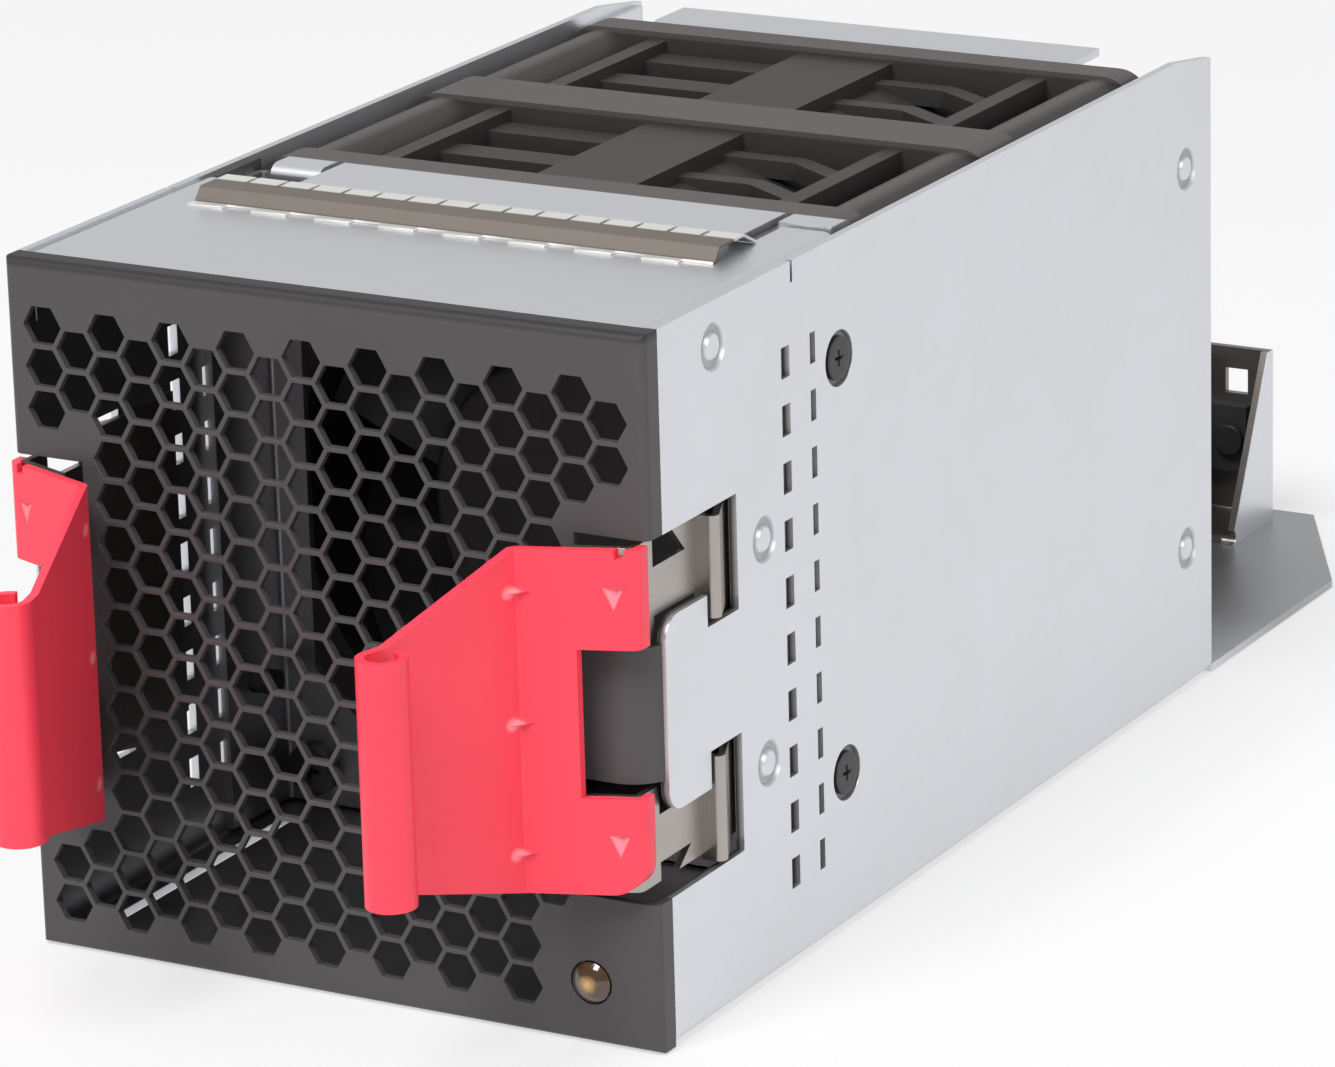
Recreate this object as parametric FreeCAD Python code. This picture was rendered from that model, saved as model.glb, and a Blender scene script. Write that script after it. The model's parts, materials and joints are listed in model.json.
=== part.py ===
"""Fan tray: a sheet-steel sleeve with two axial fans in tandem and two squeeze latches.

Units are millimetres. While modelling, Y = 0 is the outside of the front panel, +Y runs
back along the tray, X = 0 is its middle and Z = 0 its underside. On export the tray moves
along Y, so that the origin is under the middle of its box.
"""
import FreeCAD
import Part
import os
from math import atan2, cos, pi, sin, sqrt, tan

V = FreeCAD.Vector

# Sleeve
BODY_WIDTH = 80.0
BODY_HEIGHT = 80.0
WALL_LENGTH = 141.0
TONGUE_LENGTH = 62.3
TONGUE_CHAMFER_X = 13.5
TONGUE_CHAMFER_Y = 24.9
SHEET = 1.0
BEND = 1.0
LEAD_IN_LENGTH = 10.0
LEAD_IN_DROP = 1.6

# Front panel and its grille
RIM_DEPTH = 3.0
HEX_PITCH = 4.8
HEX_WEB = 0.55
HEX_LOWEST = 5.4
HEX_SIDE_BORDER = 2.0
HEX_TOP_BORDER = 4.8
HEX_MARGIN = 3.0
CORNER_CUT_X = 9.0
CORNER_CUT_LOW = 17.0
CORNER_CUT_HIGH = 57.6
STRAP_LOW = 30.2
STRAP_HIGH = 45.4
STRAP_RADIUS = 4.5

# Status light
LIGHT_FROM_SIDE = 8.6
LIGHT_Z = 7.0
LIGHT_HOLE_R = 2.5
LIGHT_CLEARANCE = 0.2
LIGHT_PROUD = 1.0
LIGHT_BODY_LENGTH = 4.0
LIGHT_KEEP_OUT = 7.2
BOARD_THICKNESS = 1.6
LIGHT_BOARD_WIDTH = 10.0
LIGHT_BOARD_HEIGHT = 12.0

# Windows, vents and marks in the side walls
WINDOW_END = 19.2
WINDOW_STEP = 12.3
WINDOW_INNER_LOW = 30.6
WINDOW_INNER_HIGH = 44.6
LAND_LOW = 26.4
LAND_HIGH = 48.2
LAND_CORNER_R = 2.8
TOP_SLIT_Y = 32.4
TOP_SLIT_WIDTH = 0.5
TOP_SLIT_DEPTH = 2.4
VENT_COUNT = 10
VENT_LOWEST = 10.6
VENT_PITCH = 6.5
VENT_HEIGHT = 3.5
VENT_COLUMNS = ((30.9, 1.9), (37.2, 1.2))
CLINCH_R = 2.7
CLINCH_BUTTON_R = 1.3
CLINCH_DEPTH = 0.4
COVER_CLINCH_Y = 15.0
SLIT_FRONT = 8.0
SLIT_LENGTH = 36.0
SLIT_WIDTH = 1.6
SLIT_FROM_WALL = 3.2

# Top cover and finger gasket
COVER_END = 38.6
COVER_FLANGE = 8.0
COVER_EAR_WIDTH = 7.6
COVER_EAR_END = 45.0
COVER_GAP = 0.3
GASKET_FRONT = 26.6
GASKET_BACK = 37.6
GASKET_END_GAP = 6.8
GASKET_THICKNESS = 0.3
GASKET_RISE = 1.7
GASKET_LIP = 1.6
GASKET_NOTCH = 1.1
GASKET_FINGERS = 16
GASKET_SLIT = 0.5
GASKET_TAB_SHARE = 0.55

# Fan bracket and rear frame
BRACKET_FLANGE = 13.3
BRACKET_STRIP_FRONT = 39.2
BRACKET_STRIP_LEFT_GAP = 13.5
BRACKET_STRIP_RIGHT_GAP = 9.4
BRACKET_STRIP_RISE = 0.3
BRACKET_TAB_FRONT = 45.6
BRACKET_TAB_WIDTH = 6.5
BRACKET_TAB_LIP = 2.6
BRACKET_TAB_GAP = 1.0
FRAME_FLANGE = 13.0
FRAME_STRIP_DEPTH = 8.0
FRAME_STRIP_LEFT_GAP = 10.5
FRAME_STRIP_RIGHT_GAP = 12.0
OPENING_BORDER = 5.0
OPENING_CHAMFER = 12.0

# Fans
FAN_FRONT = 50.5
FAN_DEPTH = 38.0
FAN_SIDE_ROOM = 2.6
FAN_TOP_ROOM = 0.1
FAN_FLOOR_GAP = 0.3
FAN_FLANGE = 4.6
FAN_CORNER_R = 4.0
FAN_HOLE_INSET = 4.7
FAN_HOLE_R = 2.1
DUCT_MARGIN = 3.4
DUCT_WALL = 1.4
POST_R = 4.2
BAND_WIDTH = 13.0
RAIL_X = 26.0
RAIL_WIDTH = 2.4
RIB_HEIGHT = 2.2
SLAT_DROP = 1.4
SLAT_WIDTH = 4.6
RIB_BELOW_TOP = 1.0
SLAT_COUNT = 3
BENT_RIB_SHARES = (0.5, 0.82)
BENT_RIB_KNEE = 16.0
BENT_RIB_BACK = 6.5
STRUT_COUNT = 7
STRUT_WIDTH = 2.0
STRUT_DEPTH = 6.0
MOTOR_BASE_R = 18.8
MOTOR_BASE_THICKNESS = 3.0
MOTOR_BASE_INSET = 1.0
BEARING_TUBE_R = 5.0
BEARING_R = 4.0
BEARING_WIDTH = 4.0
SHAFT_R = 2.0
RUNNING_FIT = 0.03
PRESS_GAP = 0.02
HUB_R = 18.6
HUB_WALL = 1.5
HUB_NOSE = 2.0
HUB_INSET = 2.5
HUB_TO_STRUTS = 1.5
TIP_CLEARANCE = 0.6
FRONT_BLADES = 7
REAR_BLADES = 5
BLADE_THICKNESS = 1.7
BLADE_CAMBER = 2.6
BLADE_ROOT_ANGLE = 38.0
BLADE_TIP_ANGLE = 56.0
BLADE_EDGE_GAP = 2.0
BLADE_TIP_SHARE = 0.9
MAGNET_WALL = 2.0
AIR_GAP = 0.6
STATOR_POLES = 6
STATOR_RING_R = 7.6
STATOR_LENGTH = 13.0
STATOR_END = 2.0
SHOE_HALF_WIDTH = 6.0
SHOE_THICKNESS = 1.4
POLE_BITE = 0.5

# Latches
GRIP_SHEET = 1.0
GRIP_REACH = 29.3
GRIP_LOW = 18.7
GRIP_HIGH = 57.1
GRIP_TIP_LOW = 23.6
GRIP_TIP_HIGH = 50.8
GRIP_CORNER_Y = -1.8
GRIP_BEND_IN = 13.0
GRIP_BEND_Y = -6.2
GRIP_TIP_IN = 19.6
GRIP_CURL_R = 2.8
GRIP_NOTCH_IN = 6.8
GRIP_NOTCH_GAP = 0.7
GRIP_RELIEF = 1.0
GRIP_FOOT_R = 3.6
DART_LEG = 2.4
DART_WIDTH = 1.8
DART_SPACING = 14.6
DENT_WIDTH = 2.4
DENT_HEIGHT = 2.7
DENT_DEPTH = 0.6
DENT_FROM_CORNER = 2.2
SPRING_SHEET = 0.8
SPRING_WALL_GAP = 0.4
SPRING_TOE = 7.0
FLEX_Y = 21.4
FLEX_GAP = 0.2
FOOT_LENGTH = 7.6
ARM_FRONT = 3.2
ARM_HEIGHT = 5.4
ARM_LAND_GAP = 0.2
TAB_FRONT = 7.2
TAB_FOOT = 11.2
TAB_BACK = 13.5
TOOTH_PROUD = 1.0
TOOTH_FRONT = 13.4
TOOTH_BACK = 18.8
TOOTH_MARGIN = 0.8
TOOTH_BEND = 0.5
RIVET_R = 1.3
RIVET_HEAD_R = 2.0
RIVET_HEAD = 0.5

# Screws
SCREW_R = 1.5
SCREW_HEAD_R = 2.5
SCREW_HEAD = 0.6
SCREW_LENGTH = 5.0
SCREW_GAP = 0.15
SCREW_Y = 43.3
SCREW_LOW = 18.2
SCREW_FROM_TOP = 13.7
DIMPLE_R = 3.2
FAN_SCREW_R = 1.9
FAN_SCREW_HEAD_R = 3.2
FAN_SCREW_HEAD = 2.0
FAN_SCREW_LENGTH = 9.0

# Rear connector
PLATE_FROM_END = 4.1
PLATE_HALF_WIDTH = 22.4
PLATE_HEIGHT = 24.5
PLATE_FOOT = 12.7
PLATE_RIVET_X = 13.4
PLATE_RIVET_INSET = 8.9
GUSSET_TOP = 1.7
PLUG_HALF_WIDTH = 14.0
PLUG_HEIGHT = 9.0
PLUG_Z = 12.5
PLUG_REAR = 3.4
PLUG_FRONT = 5.0
PLUG_FLANGE = 4.5
PLUG_FLANGE_DEPTH = 2.0
PLUG_WALL = 1.2
PLUG_GAP = 0.15
CONTACT_COUNT = 8
CONTACT_WIDTH = 1.2
CONTACT_THICKNESS = 0.6
PLUG_SCREW_X = 17.6
SIGHT_WIDTH = 3.2
SIGHT_LOW = 18.2
SIGHT_HIGH = 21.6
GUSSET_RELIEF_R = 0.9

# Places that follow from the sizes above
HALF = BODY_WIDTH / 2
INNER = HALF - SHEET
LIGHT_X = HALF - LIGHT_FROM_SIDE
GASKET_HALF_LENGTH = HALF - GASKET_END_GAP
GRIP_BEND_X = HALF - GRIP_BEND_IN
GRIP_TIP_X = HALF - GRIP_TIP_IN
GRIP_NOTCH_X = HALF - GRIP_NOTCH_IN
TONGUE_END = WALL_LENGTH + TONGUE_LENGTH
MIDDLE_Y = (TONGUE_END - GRIP_REACH) / 2
SCREW_Z = (SCREW_LOW, BODY_HEIGHT - SCREW_FROM_TOP)
FAN_HALF_X = (BODY_WIDTH - FAN_SIDE_ROOM) / 2
FAN_TOP = BODY_HEIGHT - FAN_TOP_ROOM
FAN_HALF_Z = (FAN_TOP - SHEET - FAN_FLOOR_GAP) / 2
FAN_HALF = min(FAN_HALF_X, FAN_HALF_Z)
FAN_Z = FAN_TOP - FAN_HALF_Z
DUCT_R = FAN_HALF - DUCT_MARGIN
OPENING_HALF_X = FAN_HALF_X - OPENING_BORDER
OPENING_HALF_Z = FAN_HALF_Z - OPENING_BORDER
FAN_MIDDLE = FAN_FRONT + FAN_DEPTH
FAN_END = FAN_FRONT + 2 * FAN_DEPTH
TIP_R = DUCT_R - TIP_CLEARANCE
CUP_R = HUB_R - HUB_WALL
MAGNET_R = CUP_R - PRESS_GAP
STATOR_R = MAGNET_R - MAGNET_WALL - AIR_GAP
SPRING_X = INNER - SPRING_WALL_GAP - SPRING_SHEET / 2
FLOOR_BEND_TOP = SHEET / 2 + BEND
PLATE_Y = TONGUE_END - PLATE_FROM_END


def place(a, b, c, plane):
    """Point (a, b) of a plane, at the distance c along the plane's normal."""
    if plane == "XY":
        return V(a, b, c)
    if plane == "XZ":
        return V(a, c, b)
    return V(c, a, b)


def normal(plane, length):
    return place(0, 0, length, plane)


def box(x0, x1, y0, y1, z0, z1):
    return Part.makeBox(x1 - x0, y1 - y0, z1 - z0, V(x0, y0, z0))


def rod(radius, start, end, axis="Y", at=(0.0, 0.0)):
    """Round bar from start to end along an axis, at the two other coordinates."""
    plane = {"X": "YZ", "Y": "XZ", "Z": "XY"}[axis]
    return Part.makeCylinder(radius, end - start, place(at[0], at[1], start, plane), normal(plane, 1))


def fan_rod(radius, start, end):
    return rod(radius, start, end, "Y", (0.0, FAN_Z))


def fan_ring(inner, outer, start, end):
    return fan_rod(outer, start, end).cut(fan_rod(inner, start, end))


def prism(points, start, length, plane):
    """Polygon of a plane, extruded along its normal."""
    corners = [place(a, b, start, plane) for a, b in points]
    return Part.Face(Part.makePolygon(corners + corners[:1])).extrude(normal(plane, length))


def fuse(shapes):
    return shapes[0].multiFuse(shapes[1:]).removeSplitter()


def both_sides(shape):
    """A shape and its mirror image on the other side of the tray."""
    return [shape, mirrored(shape)]


def mirrored(shape):
    return shape.mirror(V(0, 0, 0), V(1, 0, 0))


def strip_side(path, thickness, radius, side):
    """Edges, as point lists, of one side of a bent strip whose middle line is given."""
    pieces = []
    last = None
    for i, (x, y) in enumerate(path):
        ends = []
        if i > 0:
            ends.append(direction(path[i - 1], path[i]))
        if i < len(path) - 1:
            ends.append(direction(path[i], path[i + 1]))
        shift = side * thickness / 2
        if len(ends) == 1:
            point = (x - ends[0][1] * shift, y + ends[0][0] * shift)
            if last:
                pieces.append((last, point))
            last = point
            continue
        (ax, ay), (bx, by) = ends
        turn = atan2(ax * by - ay * bx, ax * bx + ay * by)
        back = radius * tan(abs(turn) / 2)
        hand = 1 if turn > 0 else -1
        centre = (x - ax * back - ay * hand * radius, y - ay * back + ax * hand * radius)
        reach = radius - hand * shift
        first = (centre[0] + ay * hand * reach, centre[1] - ax * hand * reach)
        end = (centre[0] + by * hand * reach, centre[1] - bx * hand * reach)
        outward = direction(centre, (x, y))
        middle = (centre[0] + outward[0] * reach, centre[1] + outward[1] * reach)
        if distance(last, first) > 1e-6:
            pieces.append((last, first))
        pieces.append((first, middle, end))
        last = end
    return pieces


def distance(p, q):
    return sqrt((q[0] - p[0]) ** 2 + (q[1] - p[1]) ** 2)


def direction(p, q):
    length = distance(p, q)
    return (q[0] - p[0]) / length, (q[1] - p[1]) / length


def bent_strip(path, thickness, radius, start, length, plane):
    """Sheet bent along a path of a plane, with round bends, as wide as length."""
    left = strip_side(path, thickness, radius, 1)
    right = strip_side(path, thickness, radius, -1)
    caps = [(left[0][0], right[0][0]), (left[-1][-1], right[-1][-1])]
    edges = []
    for piece in left + right + caps:
        points = [place(a, b, start, plane) for a, b in piece]
        if len(points) == 2:
            edges.append(Part.makeLine(*points))
        else:
            edges.append(Part.Arc(*points).toShape())
    wire = Part.Wire(Part.__sortEdges__(edges))
    return Part.Face(wire).extrude(normal(plane, length))


def fan_flange(start):
    """Flange plate of a fan's frame, with round corners."""
    plate = box(-FAN_HALF_X, FAN_HALF_X, start, start + FAN_FLANGE, FAN_Z - FAN_HALF_Z, FAN_TOP)
    edges = [e for e in plate.Edges if abs(e.tangentAt(e.FirstParameter).y) > 0.9]
    return plate.makeFillet(FAN_CORNER_R, edges)


def around_fan(shape, count):
    """Copies of a shape turned evenly about the fans' axis."""
    copies = []
    for i in range(count):
        copy = shape.copy()
        copy.rotate(V(0, 0, FAN_Z), V(0, 1, 0), i * 360.0 / count)
        copies.append(copy)
    return copies


def fan_corners():
    x, z = FAN_HALF_X - FAN_HOLE_INSET, FAN_HALF_Z - FAN_HOLE_INSET
    return [(sx * x, FAN_Z + sz * z) for sx in (-1, 1) for sz in (-1, 1)]


def sleeve():
    """Floor and side walls in one folded sheet, with the tongue behind them."""
    mid = HALF - SHEET / 2
    low = SHEET / 2
    path = [(-mid, BODY_HEIGHT), (-mid, low), (mid, low), (mid, BODY_HEIGHT)]
    trough = bent_strip(path, SHEET, BEND, RIM_DEPTH, WALL_LENGTH - RIM_DEPTH, "XZ")
    tongue = prism([(-HALF, WALL_LENGTH), (HALF, WALL_LENGTH), (HALF, TONGUE_END - TONGUE_CHAMFER_Y),
                    (HALF - TONGUE_CHAMFER_X, TONGUE_END), (TONGUE_CHAMFER_X - HALF, TONGUE_END),
                    (-HALF, TONGUE_END - TONGUE_CHAMFER_Y)], 0, SHEET, "XY")
    cuts = [wall_window(CORNER_CUT_LOW, LAND_LOW, WINDOW_INNER_LOW),
            wall_window(CORNER_CUT_HIGH, LAND_HIGH, WINDOW_INNER_HIGH),
            box(INNER - 1, HALF + 1, TOP_SLIT_Y, TOP_SLIT_Y + TOP_SLIT_WIDTH, BODY_HEIGHT - TOP_SLIT_DEPTH,
                BODY_HEIGHT + 1)]
    for y, width in VENT_COLUMNS:
        for i in range(VENT_COUNT):
            z = VENT_LOWEST + i * VENT_PITCH
            cuts.append(box(INNER - 1, HALF + 1, y - width / 2, y + width / 2, z - VENT_HEIGHT / 2,
                            z + VENT_HEIGHT / 2))
    for z in SCREW_Z:
        cuts.append(rod(DIMPLE_R, HALF - SCREW_HEAD, HALF + 1, "X", (SCREW_Y, z)))
        cuts.append(rod(SCREW_R + SCREW_GAP, INNER - 1, HALF, "X", (SCREW_Y, z)))
    cuts += [clinch_ring(y, z) for y, z in clinches()]
    lead_start, lead_end = WALL_LENGTH - LEAD_IN_LENGTH, WALL_LENGTH + 1
    lead_in = [(lead_start, BODY_HEIGHT), (lead_end, BODY_HEIGHT - LEAD_IN_DROP),
               (lead_end, BODY_HEIGHT + 1), (lead_start, BODY_HEIGHT + 1)]
    cuts.append(prism(lead_in, INNER - 1, SHEET + 2, "YZ"))
    slit_x = INNER - SLIT_FROM_WALL
    cuts.append(box(slit_x - SLIT_WIDTH, slit_x, SLIT_FRONT, SLIT_FRONT + SLIT_LENGTH, -1, SHEET + 1))
    both = [c for cut in cuts for c in both_sides(cut)]
    rivets = [rod(RIVET_R + SCREW_GAP, -1, SHEET + 1, "Z", at) for at in plate_rivets()]
    return fuse([trough, tongue]).cut(Part.makeCompound(both + rivets))


def wall_window(outer, land, inner):
    """Latch window of the right wall: open at the front, and taller behind the land's round corner."""
    inward = 1 if land > outer else -1
    front = RIM_DEPTH
    level = land + inward * LAND_CORNER_R
    sag = LAND_CORNER_R * (1 - sqrt(0.5))
    path = [(front, level), (front - 1, level), (front - 1, outer), (WINDOW_END, outer),
            (WINDOW_END, inner), (WINDOW_STEP, inner), (WINDOW_STEP, land), (front + LAND_CORNER_R, land)]
    corners = [V(INNER - BEND, y, z) for y, z in path]
    turn = Part.Arc(corners[-1], V(INNER - BEND, front + sag, land + inward * sag), corners[0]).toShape()
    wire = Part.Wire(Part.makePolygon(corners).Edges + [turn])
    return Part.Face(wire).extrude(V(SHEET + BEND + 1, 0, 0))


def clinch_ring(y, z):
    """Ring pressed into the right wall round a flat button."""
    floor = HALF - CLINCH_DEPTH
    ring = Part.makeCone(CLINCH_R - CLINCH_DEPTH, CLINCH_R, CLINCH_DEPTH, V(floor, y, z), V(1, 0, 0))
    button_foot = CLINCH_BUTTON_R + CLINCH_DEPTH
    button = Part.makeCone(button_foot, CLINCH_BUTTON_R, CLINCH_DEPTH, V(floor, y, z), V(1, 0, 0))
    return ring.cut(button)


def clinches():
    """Places (Y, Z) where the walls are clinched to what lies inside them."""
    foot_y = FLEX_Y + FLEX_GAP + FOOT_LENGTH / 2
    frame_y = FAN_END + SHEET + FRAME_FLANGE / 2
    marks = [(COVER_CLINCH_Y, BODY_HEIGHT - SHEET - COVER_FLANGE / 2)]
    marks += [(foot_y, z) for z in foot_clinch_heights()]
    marks += [(frame_y, z) for z in SCREW_Z]
    return marks


def foot_clinch_heights():
    quarter = (GRIP_HIGH - GRIP_LOW) / 6
    return GRIP_LOW + quarter, GRIP_HIGH - quarter


def front_panel():
    """Shallow painted pan with the grille, cut-away corners and the two corner straps."""
    inner = HALF - CORNER_CUT_X
    right = [(HALF, 0), (HALF, CORNER_CUT_LOW), (inner, CORNER_CUT_LOW), (inner, CORNER_CUT_HIGH),
             (HALF, CORNER_CUT_HIGH), (HALF, BODY_HEIGHT)]
    left = [(-x, z) for x, z in reversed(right)]
    outline = [V(x, 0, z) for x, z in right + left]
    wires = [Part.makePolygon(outline + outline[:1])] + hex_wires()
    wires.append(Part.Wire(Part.makeCircle(LIGHT_HOLE_R, V(LIGHT_X, 0, LIGHT_Z), V(0, 1, 0))))
    plate = Part.makeFace(wires, "Part::FaceMakerBullseye").extrude(V(0, SHEET, 0))
    rim = box(-HALF, HALF, 0, RIM_DEPTH, 0, BODY_HEIGHT)
    rim = rim.cut(box(-INNER, INNER, -1, RIM_DEPTH + 1, SHEET, BODY_HEIGHT - SHEET))
    gap = box(inner, HALF + 1, -1, RIM_DEPTH + 1, CORNER_CUT_LOW, CORNER_CUT_HIGH)
    rim = rim.cut(Part.makeCompound(both_sides(gap)))
    mid = HALF - SHEET / 2
    strap = bent_strip([(inner, SHEET / 2), (mid, SHEET / 2), (mid, RIM_DEPTH + STRAP_RADIUS)], SHEET,
                       STRAP_RADIUS, STRAP_LOW, STRAP_HIGH - STRAP_LOW, "XY")
    strap = strap.cut(box(0, HALF + 1, RIM_DEPTH, BODY_HEIGHT, 0, BODY_HEIGHT))
    pan = fuse([plate, rim] + both_sides(strap))
    upright = [e for e in pan.Edges if is_pan_corner(e)]
    return pan.makeFillet(BEND, upright)


def is_pan_corner(edge):
    """Outer front corner edges of the pan: upright ones, and those along the top and bottom."""
    low, high = edge.BoundBox, edge.BoundBox
    front = abs(low.YMin) < 1e-6 and abs(high.YMax) < 1e-6
    upright = abs(abs(low.XMin) - HALF) < 1e-6 and abs(low.XMax - low.XMin) < 1e-6
    level = abs(low.ZMax - low.ZMin) < 1e-6 and (abs(low.ZMin) < 1e-6 or abs(low.ZMin - BODY_HEIGHT) < 1e-6)
    return front and (upright or level)


def hex_wires():
    """Outlines of the grille's cells, left out where the light and the corner cuts are."""
    radius = (HEX_PITCH - HEX_WEB) / sqrt(3)
    spacing = HEX_PITCH * sqrt(3) / 2
    columns = int((BODY_WIDTH - 2 * (HEX_SIDE_BORDER + radius)) / spacing) + 1
    rows = int((BODY_HEIGHT - HEX_TOP_BORDER - HEX_LOWEST - HEX_PITCH / 2) / HEX_PITCH) + 1
    wires = []
    for column in range(columns):
        x = (column - (columns - 1) / 2) * spacing
        for row in range(rows - column % 2):
            z = HEX_LOWEST + HEX_PITCH * (row + (column % 2) / 2)
            near_light = distance((x, z), (LIGHT_X, LIGHT_Z)) < LIGHT_KEEP_OUT
            beside_cut = abs(x) + HEX_MARGIN > HALF - CORNER_CUT_X
            in_cut = CORNER_CUT_LOW - HEX_MARGIN < z < CORNER_CUT_HIGH + HEX_MARGIN
            if near_light or (beside_cut and in_cut):
                continue
            corners = [V(x + radius * cos(k * pi / 3), 0, z + radius * sin(k * pi / 3)) for k in range(6)]
            wires.append(Part.makePolygon(corners + corners[:1]))
    return wires


def status_light():
    """Domed light pipe in the panel's hole, with a collar behind the panel."""
    radius = LIGHT_HOLE_R - LIGHT_CLEARANCE
    at = (LIGHT_X, LIGHT_Z)
    stem = rod(radius, 0, SHEET + LIGHT_BODY_LENGTH, "Y", at)
    dome_r = (radius ** 2 + LIGHT_PROUD ** 2) / (2 * LIGHT_PROUD)
    ball = Part.makeSphere(dome_r, V(LIGHT_X, dome_r - LIGHT_PROUD, LIGHT_Z))
    dome = ball.common(rod(radius, -LIGHT_PROUD - 1, 0, "Y", at))
    collar = rod(radius + 1, SHEET, SHEET + 1, "Y", at)
    return fuse([stem, dome, collar])


def light_board():
    """Small board behind the light, standing on the floor."""
    start = SHEET + LIGHT_BODY_LENGTH
    return box(LIGHT_X - LIGHT_BOARD_WIDTH / 2, LIGHT_X + LIGHT_BOARD_WIDTH / 2, start,
               start + BOARD_THICKNESS, SHEET, SHEET + LIGHT_BOARD_HEIGHT)


def top_cover():
    """Cover of the plenum, with flanges that lie against the walls and an ear beside the right wall."""
    mid = INNER - SHEET / 2
    top = BODY_HEIGHT - SHEET / 2
    low = BODY_HEIGHT - COVER_FLANGE
    path = [(-mid, low), (-mid, top), (mid, top), (mid, low)]
    cover = bent_strip(path, SHEET, BEND, RIM_DEPTH, COVER_EAR_END - RIM_DEPTH, "XZ")
    return cover.cut(box(-HALF, HALF - COVER_EAR_WIDTH, COVER_END, COVER_EAR_END + 1, 0, BODY_HEIGHT + 1))


def finger_gasket():
    """Springy strip with a hump, split into fingers at the back and tabs at the front."""
    low = BODY_HEIGHT + GASKET_THICKNESS / 2
    high = low + GASKET_RISE - GASKET_THICKNESS
    ramp = (GASKET_BACK - GASKET_FRONT) / 4
    path = [(GASKET_FRONT, low), (GASKET_FRONT + GASKET_LIP, low), (GASKET_FRONT + ramp, high),
            (GASKET_BACK - ramp, high), (GASKET_BACK, low)]
    hump = bent_strip(path, GASKET_THICKNESS, GASKET_THICKNESS, -GASKET_HALF_LENGTH,
                      2 * GASKET_HALF_LENGTH, "YZ")
    pitch = 2 * GASKET_HALF_LENGTH / GASKET_FINGERS
    top = low + GASKET_RISE + 1
    cuts = []
    for i in range(1, GASKET_FINGERS):
        x = i * pitch - GASKET_HALF_LENGTH
        cuts.append(box(x - GASKET_SLIT / 2, x + GASKET_SLIT / 2, GASKET_BACK - 2 * ramp, GASKET_BACK + 1,
                        BODY_HEIGHT - 1, top))
    for i in range(GASKET_FINGERS // 2):
        x = (2 * i + 2 * GASKET_TAB_SHARE) * pitch - GASKET_HALF_LENGTH
        width = 2 * pitch * (1 - GASKET_TAB_SHARE)
        cuts.append(box(x, x + width, GASKET_FRONT - 1, GASKET_FRONT + GASKET_NOTCH, BODY_HEIGHT - 1, top))
    return hump.cut(Part.makeCompound(cuts))


def fan_holes(start, end, radius):
    return [rod(radius, start, end, "Y", at) for at in fan_corners()]


def fan_opening(start, end):
    """Square opening with cut corners, which leaves the fans' faces free."""
    corner = [(OPENING_HALF_X, OPENING_HALF_Z - OPENING_CHAMFER),
              (OPENING_HALF_X - OPENING_CHAMFER, OPENING_HALF_Z)]
    points = []
    for sx, sz in ((1, 1), (-1, 1), (-1, -1), (1, -1)):
        points += [(sx * x, FAN_Z + sz * z) for x, z in (corner if sx == sz else corner[::-1])]
    return prism(points, start, end - start, "XZ")


def fan_bracket():
    """Partition in front of the fans, with side flanges and a raised strip on top."""
    mid = INNER - SHEET / 2
    plane_y = FAN_FRONT - SHEET / 2
    front = FAN_FRONT - BRACKET_FLANGE
    top = BODY_HEIGHT - SHEET - BEND
    wall = bent_strip([(-mid, front), (-mid, plane_y), (mid, plane_y), (mid, front)], SHEET, BEND,
                      FLOOR_BEND_TOP, top - FLOOR_BEND_TOP, "XY")
    strip_z = BODY_HEIGHT + BRACKET_STRIP_RISE - SHEET / 2
    root = [(plane_y, top - COVER_FLANGE), (plane_y, strip_z)]
    left, right = BRACKET_STRIP_LEFT_GAP - HALF, HALF - BRACKET_STRIP_RIGHT_GAP
    strips = [bent_strip(root + [(BRACKET_STRIP_FRONT, strip_z)], SHEET, BEND, left, right - left, "YZ")]
    lip = [(BRACKET_TAB_FRONT, strip_z), (BRACKET_TAB_FRONT, strip_z - BRACKET_TAB_LIP)]
    strips.append(bent_strip(root + lip, SHEET, BEND, left - BRACKET_TAB_GAP - BRACKET_TAB_WIDTH,
                             BRACKET_TAB_WIDTH, "YZ"))
    strips.append(bent_strip(root + lip[:1], SHEET, BEND, right + BRACKET_TAB_GAP, BRACKET_TAB_WIDTH, "YZ"))
    cuts = [fan_opening(front, FAN_FRONT + 1)] + fan_holes(front, FAN_FRONT + 1, FAN_HOLE_R)
    for z in SCREW_Z:
        cuts += both_sides(rod(SCREW_R + SCREW_GAP, INNER - SHEET - 1, INNER + 1, "X", (SCREW_Y, z)))
    low = BODY_HEIGHT - COVER_FLANGE - COVER_GAP
    cuts.append(box(-INNER - 1, 0, front - 1, COVER_END + COVER_GAP, low, BODY_HEIGHT))
    cuts.append(box(right, INNER + 1, front - 1, COVER_EAR_END + COVER_GAP, low, BODY_HEIGHT))
    return fuse([wall] + strips).cut(Part.makeCompound(cuts))


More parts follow.
